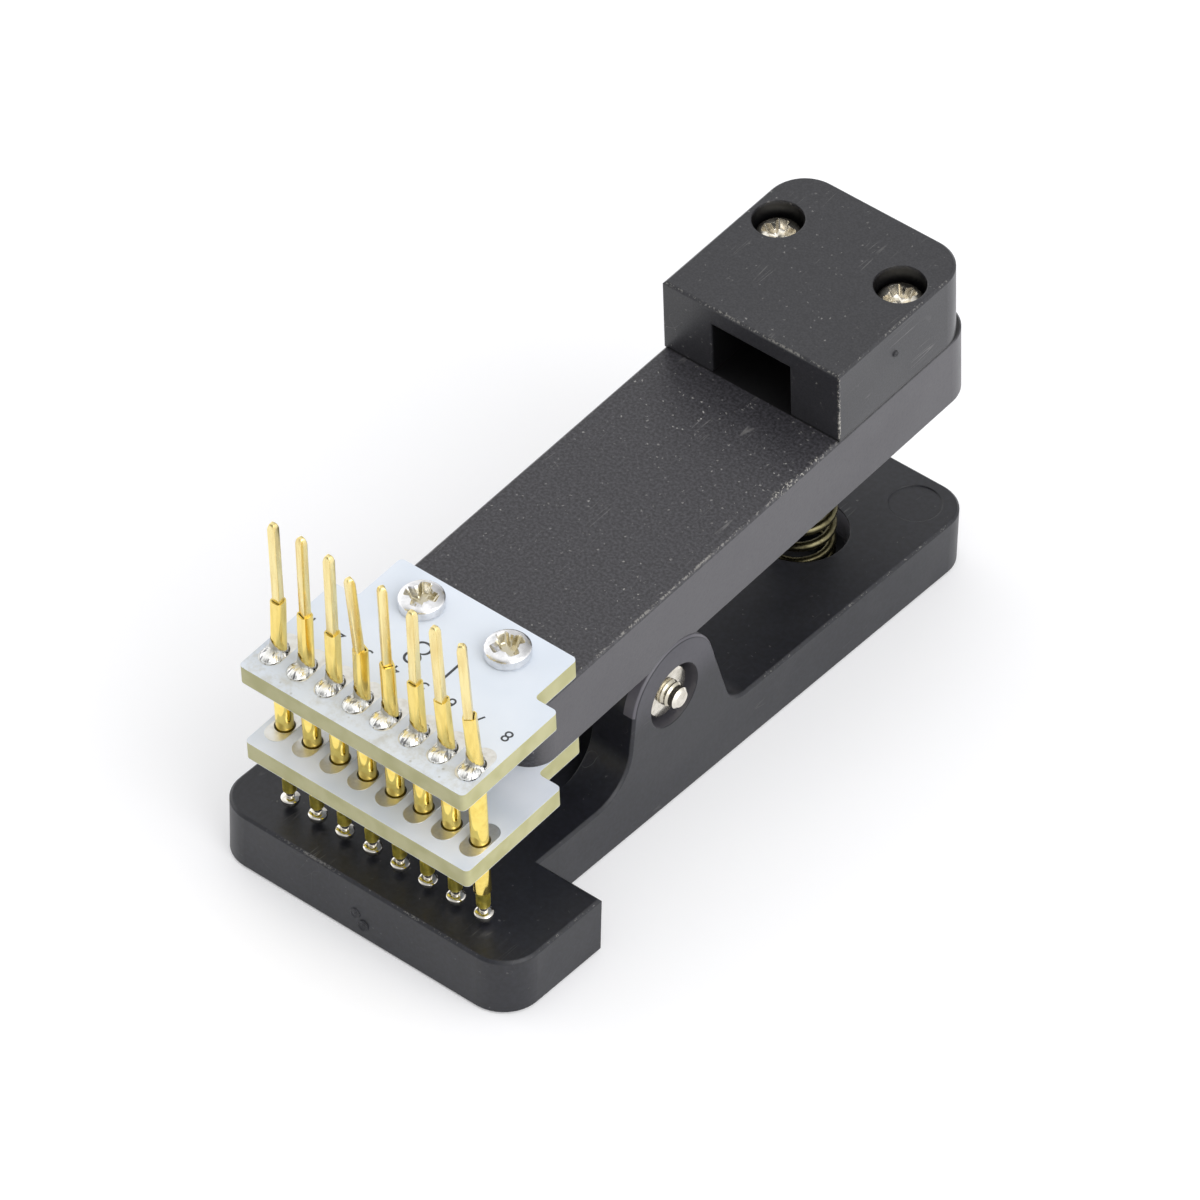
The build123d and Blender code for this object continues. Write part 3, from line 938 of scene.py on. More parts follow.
@dataclass(frozen=True)
class MaskedBoard:
    """Glass epoxy board: white solder mask on both faces, bare cut edges, flux haze, and painted shade
    in the holes round the tubes.
    """

    name: str
    low: float
    high: float
    row_y: float
    haze: float
    mask: str
    mask_dim: str = "#d6dee9"
    flux_shade: str = "#c2c3bf"
    crumb_shade: str = "#8f8b80"
    fibre: str = "#aca97a"
    fibre_pale: str = "#b9b68b"
    gap: str = "#2e2513"
    cloud_mm: float = 5.0
    blotch_mm: float = 1.6  # patches of flux haze
    crumb_mm: float = 1.1  # from one flux crumb to the next
    weave_mm: float = 2.2  # uneven colour of the cut edge
    peel_mm: float = 0.6  # waves of the lacquer
    peel_depth_mm: float = 0.006
    row_half: float = 10.3  # half of the length of the row of holes
    hole_r: float = 0.77

    def build(self, jaw: Jaw) -> Material:
        """Make the material.

        Args:
            jaw: The jaw that carries the board.

        Returns:
            The material.
        """
        material, tree = start_material(self.name)
        where = level_place(tree, jaw)
        axes = add_node(tree, Kind.SPLIT, {}, {"Vector": where}).outputs
        half = (self.high - self.low) / 2 * MM
        rise = add_node(tree, Kind.MATH, {"operation": "SUBTRACT", 1: self.low * MM + half},
                        {0: axes["Z"]})
        off = add_node(tree, Kind.MATH, {"operation": "ABSOLUTE"}, {0: rise})
        face = add_node(tree, Kind.RANGE, smooth(half - 0.035 * MM, half - 0.02 * MM), {"Value": off})
        weave = add_node(tree, Kind.NOISE, {"Scale": per_metre(self.weave_mm)}, {"Vector": where})
        woven = add_node(tree, Kind.RANGE, smooth(0.35, 0.65), {"Value": weave})
        fibres = add_node(tree, Kind.MIX, blend(self.fibre, self.fibre_pale), {0: woven})
        mask = self.masked(tree, where, axes)
        tone = add_node(tree, Kind.MIX, blend(), {0: face, BELOW: fibres, ABOVE: mask})
        rough = add_node(tree, Kind.RANGE, smooth(0.0, 1.0, 0.55, 0.3), {"Value": face})
        peel = add_node(tree, Kind.NOISE, {"Scale": per_metre(self.peel_mm)}, {"Vector": where})
        bump = add_node(tree, Kind.BUMP, {"Strength": 0.3, "Distance": self.peel_depth_mm * MM},
                        {"Height": peel})
        shader = add_node(tree, Kind.SURFACE, {"IOR": 1.5},
                          {"Base Color": tone, "Roughness": rough, "Normal": bump})
        add_node(tree, Kind.OUTPUT, {}, {"Surface": shader})
        return material

    def masked(self, tree: Tree, where: Source, axes: Mapping) -> Node:
        """Colour of the solder mask, with flux haze and crumbs in front of the row, and painted shade in
        the holes.

        Args:
            tree: The node tree.
            where: Level coordinates in metres.
            axes: The same, split.

        Returns:
            The node that gives the colour.
        """
        cloud = add_node(tree, Kind.NOISE, {"Scale": per_metre(self.cloud_mm)}, {"Vector": where})
        cloudy = add_node(tree, Kind.RANGE, smooth(0.3, 0.7), {"Value": cloud})
        mask = add_node(tree, Kind.MIX, blend(self.mask, self.mask_dim), {0: cloudy})
        behind = add_node(tree, Kind.MATH, {"operation": "SUBTRACT", 1: self.row_y * MM}, {0: axes["Y"]})
        front = add_node(tree, Kind.RANGE, smooth(-1.2 * MM, 0.8 * MM, 1.0, 0.0), {"Value": behind})
        blotch = add_node(tree, Kind.NOISE,
                          {"Scale": per_metre(self.blotch_mm), "Detail": 4.0, "Roughness": 0.65},
                          {"Vector": where})
        blotchy = add_node(tree, Kind.RANGE, smooth(0.42, 0.68, 0.0, self.haze), {"Value": blotch})
        flux = add_node(tree, Kind.MATH, {"operation": "MULTIPLY"}, {0: front, 1: blotchy})
        mask = add_node(tree, Kind.MIX, blend(above=self.flux_shade), {0: flux, BELOW: mask})
        cells = add_node(tree, Kind.CELLS, {"Scale": per_metre(self.crumb_mm), "Randomness": 1.0},
                         {"Vector": where})
        crumb = add_node(tree, Kind.RANGE, smooth(0.05, 0.14, 0.7 * self.haze, 0.0),
                         {"Value": cells.outputs["Distance"]})
        crumbs = add_node(tree, Kind.MATH, {"operation": "MULTIPLY"}, {0: front, 1: crumb})
        mask = add_node(tree, Kind.MIX, blend(above=self.crumb_shade), {0: crumbs, BELOW: mask})
        holes = self.drilled(tree, axes["X"], behind)
        return add_node(tree, Kind.MIX, blend(above=self.gap), {0: holes, BELOW: mask})

    def drilled(self, tree: Tree, across: Source, behind: Source) -> Node:
        """Painted shade of the gap between each tube and the hole that it stands in.

        Args:
            tree: The node tree.
            across: Place across the board in metres.
            behind: Place behind the row in metres.

        Returns:
            The node that gives 1 inside the holes and 0 outside.
        """
        half = PITCH / 2 * MM
        beside = add_node(tree, Kind.MATH, {"operation": "PINGPONG", 1: half}, {0: across})
        aside = add_node(tree, Kind.MATH, {"operation": "SUBTRACT", 0: half}, {1: beside})
        flat = add_node(tree, Kind.MERGE, {}, {"X": aside, "Y": behind})
        apart = add_node(tree, Kind.VECTOR, {"operation": "LENGTH"}, {0: flat})
        rim = smooth((self.hole_r - 0.02) * MM, (self.hole_r + 0.02) * MM, 1.0, 0.0)
        hole = add_node(tree, Kind.RANGE, rim, {"Value": apart})
        away = add_node(tree, Kind.MATH, {"operation": "ABSOLUTE"}, {0: across})
        inside = add_node(tree, Kind.MATH, {"operation": "LESS_THAN", 1: self.row_half * MM}, {0: away})
        return add_node(tree, Kind.MATH, {"operation": "MULTIPLY"}, {0: hole, 1: inside})


@dataclass(frozen=True)
class PrintedInk:
    """Screen-printed epoxy ink, dark and thin, with slightly uneven cover."""

    name: str
    shade: str = "#2f3134"
    thin: str = "#5b5e63"
    mesh_mm: float = 0.12  # marks of the printing screen, drawn as coarse as they need to show

    def build(self) -> Material:
        """Make the material.

        Returns:
            The material.
        """
        material, tree = start_material(self.name)
        cover = add_node(tree, Kind.NOISE, {"Scale": per_metre(self.mesh_mm), "Detail": 3.0},
                         {"Vector": level_place(tree)})
        uneven = add_node(tree, Kind.RANGE, smooth(0.4, 0.8), {"Value": cover})
        tone = add_node(tree, Kind.MIX, blend(self.shade, self.thin), {0: uneven})
        shader = add_node(tree, Kind.SURFACE, {"Roughness": 0.5}, {"Base Color": tone})
        add_node(tree, Kind.OUTPUT, {}, {"Surface": shader})
        return material


@dataclass
class Finishes:
    """Every finish of the clip, built once."""

    jaw: Jaw

    def __post_init__(self) -> None:
        """Build the materials."""
        self.plastics()
        self.metals()
        # Epoxy ink: near black and matt, a little thin in places
        self.ink = PrintedInk("printed_ink").build()

    def plastics(self) -> None:
        """Build the black plastic of the base, the arm and the cap."""
        cap, screws = self.jaw.span("cable_clamp_cap"), self.jaw.span("cap_screws")
        top, front, right = cap.low.z, cap.low.y, cap.high.x
        along = (cap.high.y - front) / 2
        # Painted shade: near black in the cap's tunnel, on the arm's top under the cap and in the cap's
        # screw sinks; a dark band is a painted shadow in the parting line between cap and arm
        tunnel_shade = Mark((0, cap.middle.y, top), (4.0, along, 5.2))
        shade_under_cap = Mark((0, cap.middle.y, top), (4.0, along, 0.35))
        parting_shadow = Mark((0, cap.middle.y, top), (9.0, along + 0.05, 0.15), soft=0.05)
        screw_x = 5.55  # from the middle of the cap
        sink_shading = [Mark((side * screw_x, screws.middle.y, cap.high.z - 3.0), (2.2, 2.2, 2.85))
                 for side in (-1, 1)]
        worn = (Mark((right, 2.0, top), (0.32, 17.3, 0.18), "#b4b1aa", 0.25, 0.6),
                Mark((right - 0.1, 14.5, top), (0.5, 2.8, 0.3), "#b9b6ae", 0.35, 0.6),
                Mark((-right, 2.0, top), (0.25, 17.3, 0.2), "#a9a6a0", 0.2, 0.75))
        nicks = (Mark((0, front, cap.high.z), (8.1, 0.22, 0.2), "#b9b6ae", 0.2, 0.6),
                 Mark((-3.8, front, cap.high.z), (1.6, 0.15, 0.15), "#a9a69e", 0.12, 0.6),
                 Mark((right, front, top + 3.2), (0.2, 0.2, 3.4), "#b9b6ae", 0.15, 0.6),
                 Mark((right, cap.middle.y, cap.high.z), (0.2, 7.7, 0.18), "#a9a6a0", 0.15, 0.72))
        # ABS of the base: the blackest, smooth, with the least dust, and a painted sheen on the sides of
        # the ears
        self.base = MouldedAbs("moulded_abs_base", "#13141a", "#1d1e26", roughness=0.42, dust=0.25,
                               scratches=0.15, grain_mm=0.35, pit_mm=0.01, side_shade="#414047",
                               side_above=11.0, marks=self.base_marks()).build()
        # ABS of the arm: greyer and grainy on top, dusty, with a painted sheen on its sides and worn
        # edges, painted shade under the cap and a painted shadow in the parting line
        self.arm = MouldedAbs("moulded_abs_arm", roughness=0.4, side_shade="#4b4a4e", dust=1.0,
                              scratches=0.25, marks=(*worn, shade_under_cap, parting_shadow)).build(self.jaw)
        # ABS of the cap: nearly the arm's black, with a finer grain and a little more sheen, painted
        # shade in its tunnel and screw sinks, and a painted shadow in the parting line
        self.cap = MouldedAbs("moulded_abs_cap", "#242428", "#343438", roughness=0.34, grain_mm=0.16,
                              pit_mm=0.015, dust=0.6, scratches=0.3,
                              marks=(*nicks, tunnel_shade, *sink_shading, parting_shadow)).build(self.jaw)

    def metals(self) -> None:
        """Build the platings, the solder and the spring wire."""
        board_top, row_y = self.jaw.span("upper_board").high.z, self.jaw.span("receptacle_1").middle.y
        heads = self.jaw.span("upper_board_screws")
        pin = (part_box("pivot_nut")[0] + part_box("pivot_nut")[1]) / 2 / MM
        head_r = 1.7
        # Painted shade: a darker colour on the rear of each board screw's cross recess
        recess_shade = [Mark((x, heads.middle.y + 0.5, heads.high.z - 0.6), (1.2, 0.8, 0.45), "#d3ccb6", 0.15)
                for x in (heads.low.x + head_r, heads.high.x - head_r)]
        thread = Mark((pin.x + 1.35, pin.y, pin.z), (0.56, 1.2, 1.2), "#cfc9b8", 0.05)
        # Gold on the tubes: mirror-bright below the board, duller where it was held for soldering
        self.bright_gold = PlatedMetal("gold_plated_tube", "#f8e07f", "#ecd06c", 0.08, ripple_mm=0.002,
                                       dull_above=board_top).build(self.jaw)
        # Thin gold on the drawn wire posts: pale, satin, with fine streaks along them
        self.satin_gold = PlatedMetal("gold_flashed_post", "#f3e3a6", "#e6cf8e", 0.25, patch_mm=0.3,
                                      streak=0.1, ripple_mm=0.0015).build(self.jaw)
        # Worn gold on the probe barrels: greenish and dull
        self.olive_gold = PlatedMetal("gold_plated_barrel", "#f4e468", "#d9c44c", 0.4).build()
        # Nickel on the screws: warm white, with soft reflections
        self.screw_nickel = PlatedMetal("nickel_plated_screw", "#f1ece1", "#dad4c6", 0.2).build()
        # Nickel on the board's screws: cooler, with painted shade in the cross recess
        self.board_nickel = PlatedMetal("nickel_plated_board_screw", "#ebebec", "#d6d6d8", 0.16,
                                        marks=tuple(recess_shade)).build(self.jaw)
        # Nickel on the pivot screw: as on the other screws, with a greyer colour on the thread beyond
        # the nut
        self.pivot_nickel = PlatedMetal("nickel_plated_pivot", "#f1ece1", "#dad4c6", 0.2,
                                        marks=(thread,)).build()
        # Nickel on the ball tips: the most polished
        self.tip_nickel = PlatedMetal("nickel_plated_tip", "#f0ede6", "#d6d1c6", 0.12).build()
        # Hot tin on the pads: white and softly uneven
        self.tin = PlatedMetal("tinned_pad", "#e9e8e3", "#dbd9d2", 0.4, ripple_mm=0.006).build()
        # Hand-made solder joints: bright, with painted shade in lines that fan out
        self.solder = WettedSolder("tin_solder", row_y, board_top).build(self.jaw)
        # Oiled spring wire: dark brown-green metal with sharp highlights
        self.spring = PlatedMetal("oiled_spring_wire", "#6c674e", "#4f4a36", 0.24,
                                  ripple_mm=0.001).build()

    def base_marks(self) -> tuple[Mark, ...]:
        """Places of the base: painted light on the walls round the ears' heads, in the pivot's sinks and
        in the spring's sink, and worn rims.

        Returns:
            The marks, in the row frame.
        """
        low, high = (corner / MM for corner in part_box("base"))
        spring = (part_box("jaw_spring")[0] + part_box("jaw_spring")[1]) / 2 / MM
        pivot_z = self.jaw.pivot.z / MM
        plate = 5.0  # thickness of the base's plate
        body_half = 8.0  # half of the width behind the platform
        # Painted light: paler colour on the ears' heads, in the pivot's sinks and in the spring's sink,
        # which sit in shade
        heads = [Mark((side * 7.46, 0, 13.4), (0.5, 4.75, 2.2), "#615f66", 0.03) for side in (-1, 1)]
        sink_shading = [Mark((side * 7.0, 0, pivot_z), (0.96, 2.65, 2.65), "#4c4b51", 0.02) for side in (-1, 1)]
        return (*heads, *sink_shading, Mark((0, spring.y, plate - 1.3), (3.75, 3.75, 1.2), "#7a7981", 0.1),
                Mark((0, low.y, plate), (13.0, 0.25, 0.2), "#8f8d88", 0.2, 0.78),
                Mark((high.x, low.y + 5.0, plate), (0.2, 4.5, 0.2), "#8f8d88", 0.15, 0.78),
                Mark((body_half, 21.5, plate), (0.2, 13.5, 0.2), "#8f8d88", 0.15, 0.85))


def dress(obj: Object, material: Material) -> Object:
    """Give a piece its material.

    Args:
        obj: The piece or CAD node.
        material: The material.

    Returns:
        The same piece.
    """
    if obj.material_slots:
        for holder in obj.material_slots:
            holder.material = material
    else:
        obj.data.materials.append(material)
    return obj


# Screws and nut


@dataclass
class PanScrew:
    """Small machine screw with a low domed head and a wide cross recess."""

    head_d: float = 3.4
    head_h: float = 1.15
    brim_h: float = 0.7
    shank_d: float = 2.0
    shank_l: float = 4.0
    thread_pitch: float = 0.4
    thread_h: float = 0.15
    cross_l: float = 2.8
    cross_w: float = 1.0
    cross_depth: float = 0.95
    bare_l: float = 0.0

    def make(self, name: str) -> Object:
        """Model the screw, seated at height zero with its shank downwards.

        Args:
            name: The screw's name.

        Returns:
            The screw.
        """
        radius = self.head_d / 2
        rise = self.head_h - self.brim_h
        dome = [(radius * math.cos(share * math.pi / 2) ** 0.38, self.brim_h + rise * share)
                for share in (0.15, 0.35, 0.55, 0.72, 0.86, 0.95, 0.99)] + [(0, self.head_h)]
        head = lathe(name, [(0, 0), (radius - 0.12, 0), (radius, 0.12), (radius, self.brim_h), *dome])
        combine(head, self.cross(self.cross_l, self.cross_w, self.cross_depth))
        star = self.cross(self.cross_l * 0.72, self.cross_w * 0.42, self.cross_depth * 0.6)
        combine(head, settle(star, Matrix.Rotation(math.pi / 4, 4, "Z")))
        tidy(head)
        soften(head, 0.05, 2, 32)
        combine(head, self.shank(), "UNION")
        return tidy(head)

    def cross(self, length: float, width: float, depth: float) -> Object:
        """Model the tool that cuts a cross recess, narrower at its floor.

        Args:
            length: Tip to tip of the arms.
            width: Width of an arm.
            depth: Depth below the top of the head.

        Returns:
            The tool, at the top of the head.
        """
        release()
        bpy.ops.mesh.primitive_grid_add(x_subdivisions=3, y_subdivisions=3, size=length * MM,
                                        location=(0, 0, (self.head_h + 0.2) * MM))
        tool = settle(named("cross_tool"))
        edit(tool, Part.VERT)
        for axis in (0, 1):
            pick(tool, Part.VERT, lambda p, n: abs(p[axis]) < length / 3)
            share = [1.0, 1.0, 1.0]
            share[axis] = width / (length / 3)
            bpy.ops.transform.resize(value=share, center_override=(0, 0, 0))
        pick(tool, Part.FACE, lambda p, n: min(abs(p.x), abs(p.y)) > width / 2)
        bpy.ops.mesh.delete(type="FACE")
        bpy.ops.mesh.select_all(action="SELECT")
        drop = (0, 0, -(depth + 0.2) * MM)
        bpy.ops.mesh.extrude_region_move(TRANSFORM_OT_translate={"value": drop})
        bpy.ops.transform.resize(value=(0.58, 0.58, 1), center_override=(0, 0, 0))
        release()
        tidy(tool)
        soften(tool, width / 7, 2, 50)
        return tool

    def shank(self) -> Object:
        """Model the threaded shank.

        Returns:
            The shank, from inside the head downwards.
        """
        major, minor = self.shank_d / 2, self.shank_d / 2 - self.thread_h
        outline = [(0, 0.25), (minor, 0.25), (minor, -self.bare_l)]
        height = -self.bare_l
        while height - self.thread_pitch > -self.shank_l + 0.3:
            outline += [(major, height - 0.16), (major, height - 0.24)]
            outline.append((minor, height - self.thread_pitch))
            height -= self.thread_pitch
        outline += [(minor, -self.shank_l + 0.2), (minor - 0.2, -self.shank_l), (0, -self.shank_l)]
        return lathe("shank_tool", outline, steps=28)


@dataclass
class HexNut:
    """Hexagon nut with both rims chamfered and a threaded bore."""

    flats: float = 4.0
    height: float = 1.6
    bore_d: float = 1.7
    chamfer: float = 0.22

    def make(self, name: str) -> Object:
        """Model the nut, upright on height zero.

        Args:
            name: The nut's name.

        Returns:
            The nut.
        """
        corner = self.flats / 2 / math.cos(math.pi / 6)
        nut = drum(name, corner, 0, self.height, steps=6)
        rim = self.flats / 2 - 0.02
        wide = corner + 0.05
        outline = [(0, 0), (rim, 0), (wide, self.chamfer), (wide, self.height - self.chamfer),
                   (rim, self.height), (0, self.height)]
        combine(nut, lathe("rim_tool", outline), "INTERSECT")
        combine(nut, drum("bore_tool", self.bore_d / 2, -1, self.height + 1))
        soften(nut, 0.03, 1, 25)
        return tidy(nut)


@dataclass
class Fasteners:
    """All screws and the nut."""

    jaw: Jaw
    finishes: Finishes
    head_r: float = 1.7  # middle of a head to the side of its CAD node's box
    head_h: float = 1.15  # height of the heads in the CAD nodes
    turns: tuple[float, float] = (0.35, 1.1)  # of the left and the right screw, in radians
    pivot_head_d: float = 3.8
    pivot_head_h: float = 1.5
    pivot_thread_l: float = 4.2
    nut_turn: float = 8.0  # degrees

    def build(self) -> None:
        """Model, place and dress the screws and the nut."""
        board = PanScrew().make("board_screw")
        self.pair(board, "upper_board_screws", self.finishes.board_nickel, up=True)
        self.pair(board, "lower_board_screws", self.finishes.board_nickel, up=False)
        bpy.data.objects.remove(board)
        cap = PanScrew(head_h=1.6, brim_h=1.1, shank_l=8.0).make("cap_screw")
        self.pair(cap, "cap_screws", self.finishes.screw_nickel, up=True)
        bpy.data.objects.remove(cap)
        self.pivot()

    def pair(self, pattern: Object, node: str, finish: Material, up: bool) -> None:
        """Place a pair of screws where a CAD node has them.

        Args:
            pattern: The modelled screw.
            node: The CAD node with the two screws.
            finish: Their material.
            up: Whether the heads are above.
        """
        span = self.jaw.span(node)
        seat = span.high.z - self.head_h if up else span.low.z + self.head_h
        placed = []
        left, right = span.low.x + self.head_r, span.high.x - self.head_r
        for side, x, turn in zip((-1, 1), (left, right), self.turns):
            spot = Matrix.Translation(Vector((x, span.middle.y, seat)) * MM)
            if not up:
                spot = spot @ Matrix.Rotation(math.pi, 4, "X")
            placed.append(copy(pattern, f"{node}_{side}", spot @ Matrix.Rotation(turn, 4, "Z")))
        pair = dress(join(placed, f"{node}_detailed"), finish)
        self.jaw.fit(pair, node)
        LOG.info("%s: two screws", pair.name)

    def pivot(self) -> None:
        """Place the pivot screw with its head on the left, and its nut on the right."""
        low, high = (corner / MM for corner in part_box("pivot_screw"))
        nut_low, nut_high = (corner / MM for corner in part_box("pivot_nut"))
        centre = (nut_low + nut_high) / 2
        shank = high.x - low.x - self.pivot_head_h
        shape = PanScrew(head_d=self.pivot_head_d, head_h=self.pivot_head_h, brim_h=0.6, shank_l=shank,
                         bare_l=shank - self.pivot_thread_l)
        seat = Matrix.Translation(Vector((low.x + self.pivot_head_h, centre.y, centre.z)) * MM)
        lie = seat @ Matrix.Rotation(-math.pi / 2, 4, "Y")
        screw = settle(shape.make("pivot_screw_detailed"), lie)
        dress(screw, self.finishes.pivot_nickel)
        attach(screw, Body.BASE.value)
        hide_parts("pivot_screw")
        nut = HexNut(height=nut_high.x - nut_low.x).make("pivot_nut_detailed")
        spot = Matrix.Translation(Vector((nut_low.x, centre.y, centre.z)) * MM)
        turn = Matrix.Rotation(math.radians(self.nut_turn), 4, "Z")
        settle(nut, spot @ Matrix.Rotation(math.pi / 2, 4, "Y") @ turn)
        dress(nut, self.finishes.screw_nickel)
        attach(nut, Body.BASE.value)
        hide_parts("pivot_nut")
        LOG.info("%s and %s", screw.name, nut.name)


# Springs


@dataclass
class CoilSpring:
    """Compression spring of round wire with closed ends, by default the jaw's, between two sinks."""

    finishes: Finishes
    wire_d: float = 0.74
    turns: float = 11.0
    swell: float = 0.19  # how far the coil stands out beyond the CAD node's
    first_turn: float = 0.62  # where round the axis the wire starts, in turns
    closed_turns: float = 1.2
    points_per_turn: int = 24
    roundness: int = 3  # bevel resolution of the wire
    keep: float = 0.435  # stays clear of the front rim of the arm's sink with the jaw fully open

    def build(self) -> None:
        """Model, dress and ride the spring."""
        low, high = (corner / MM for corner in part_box("jaw_spring"))
        centre = (low + high) / 2
        radius = (high.x - low.x) / 2 + self.swell - self.wire_d / 2
        coil = self.wind("jaw_spring_detailed", radius, low.z, high.z)
        start = Matrix.Rotation(self.first_turn * TURN, 4, "Z")
        settle(coil, Matrix.Translation(Vector((centre.x, centre.y, 0)) * MM) @ start)
        dress(coil, self.finishes.spring)
        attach(coil, Body.BASE.value)
        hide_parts("jaw_spring")
        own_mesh(coil)
        LOG.info("%s: %.1f turns", coil.name, self.turns)

    def wind(self, name: str, radius: float, low: float, high: float) -> Object:
        """Wind the wire about the Z axis.

        Args:
            name: The spring's name.
            radius: Middle of the wire to the axis.
            low: Lower end of the spring.
            high: Upper end.

        Returns:
            The spring as a mesh.
        """
        release()
        bpy.ops.mesh.primitive_plane_add(size=MM)
        obj = named(name)
        edit(obj, Part.VERT)
        bpy.ops.mesh.select_all(action="SELECT")
        bpy.ops.mesh.merge(type="CENTER")
        bpy.ops.transform.translate(value=(radius * MM, 0, 0))
        release()
        modify(obj, "SCREW", angle=TURN * self.turns, screw_offset=0.0, iterations=1,
               steps=round(self.turns * self.points_per_turn),
               render_steps=round(self.turns * self.points_per_turn), use_merge_vertices=False)
        half = self.wire_d / 2
        count = len(obj.data.vertices) - 1
        for number, vert in enumerate(obj.data.vertices):
            vert.co.z = self.height(self.turns * number / count, low + half, high - half) * MM
        take(obj)
        bpy.ops.object.convert(target="CURVE")
        obj = named(name)
        obj.data.bevel_depth = half * MM
        obj.data.bevel_resolution = self.roundness
        obj.data.use_fill_caps = True
        bpy.ops.object.convert(target="MESH")
        return tidy(named(name), 60)

    def height(self, turn: float, low: float, high: float) -> float:
        """Height of the wire after a number of turns, close-wound at both ends.

        Args:
            turn: Turns from the lower end.
            low: Height of the wire's middle at the lower end.
            high: Height at the upper end.

        Returns:
            The height in millimetres.
        """
        closed = self.closed_turns * self.wire_d * 1.02
        if turn < self.closed_turns:
            return low + closed * turn / self.closed_turns
        if turn > self.turns - self.closed_turns:
            return high - closed * (self.turns - turn) / self.closed_turns
        share = (turn - self.closed_turns) / (self.turns - 2 * self.closed_turns)
        return low + closed + (high - low - 2 * closed) * share


@dataclass
class ProbeSprings:
    """Fine coil springs inside the probe barrels."""

    jaw: Jaw
    finishes: Finishes
    count: int = PROBES
    travel: float = 0.55  # how far a plunger goes in

    def build(self) -> None:
        """Wind one spring about the Z axis, then copy it to every probe."""
        span = self.jaw.span("probe_spring_1")
        winder = CoilSpring(self.finishes, wire_d=0.1, turns=30.0, closed_turns=2.0, points_per_turn=12,
                            roundness=1)
        radius = (span.high.x - span.low.x - winder.wire_d) / 2
        pattern = winder.wind("probe_spring", radius, span.low.z, span.high.z)
        up = self.jaw.place.to_3x3() @ Vector((0, 0, 1))
        for number in range(1, self.count + 1):
            node = f"probe_spring_{number}"
            spot = self.jaw.span(node).middle
            place = Matrix.Translation(Vector((spot.x, spot.y, 0)) * MM)
            coil = copy(pattern, f"{node}_detailed", place)
            dress(coil, self.finishes.spring)
            self.jaw.fit(coil, node)
            anchor = self.jaw.place @ (Vector((spot.x, spot.y, span.high.z)) * MM)
            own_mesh(coil)
        bpy.data.objects.remove(pattern)
        LOG.info("probe springs: %d coils", self.count)


# Boards


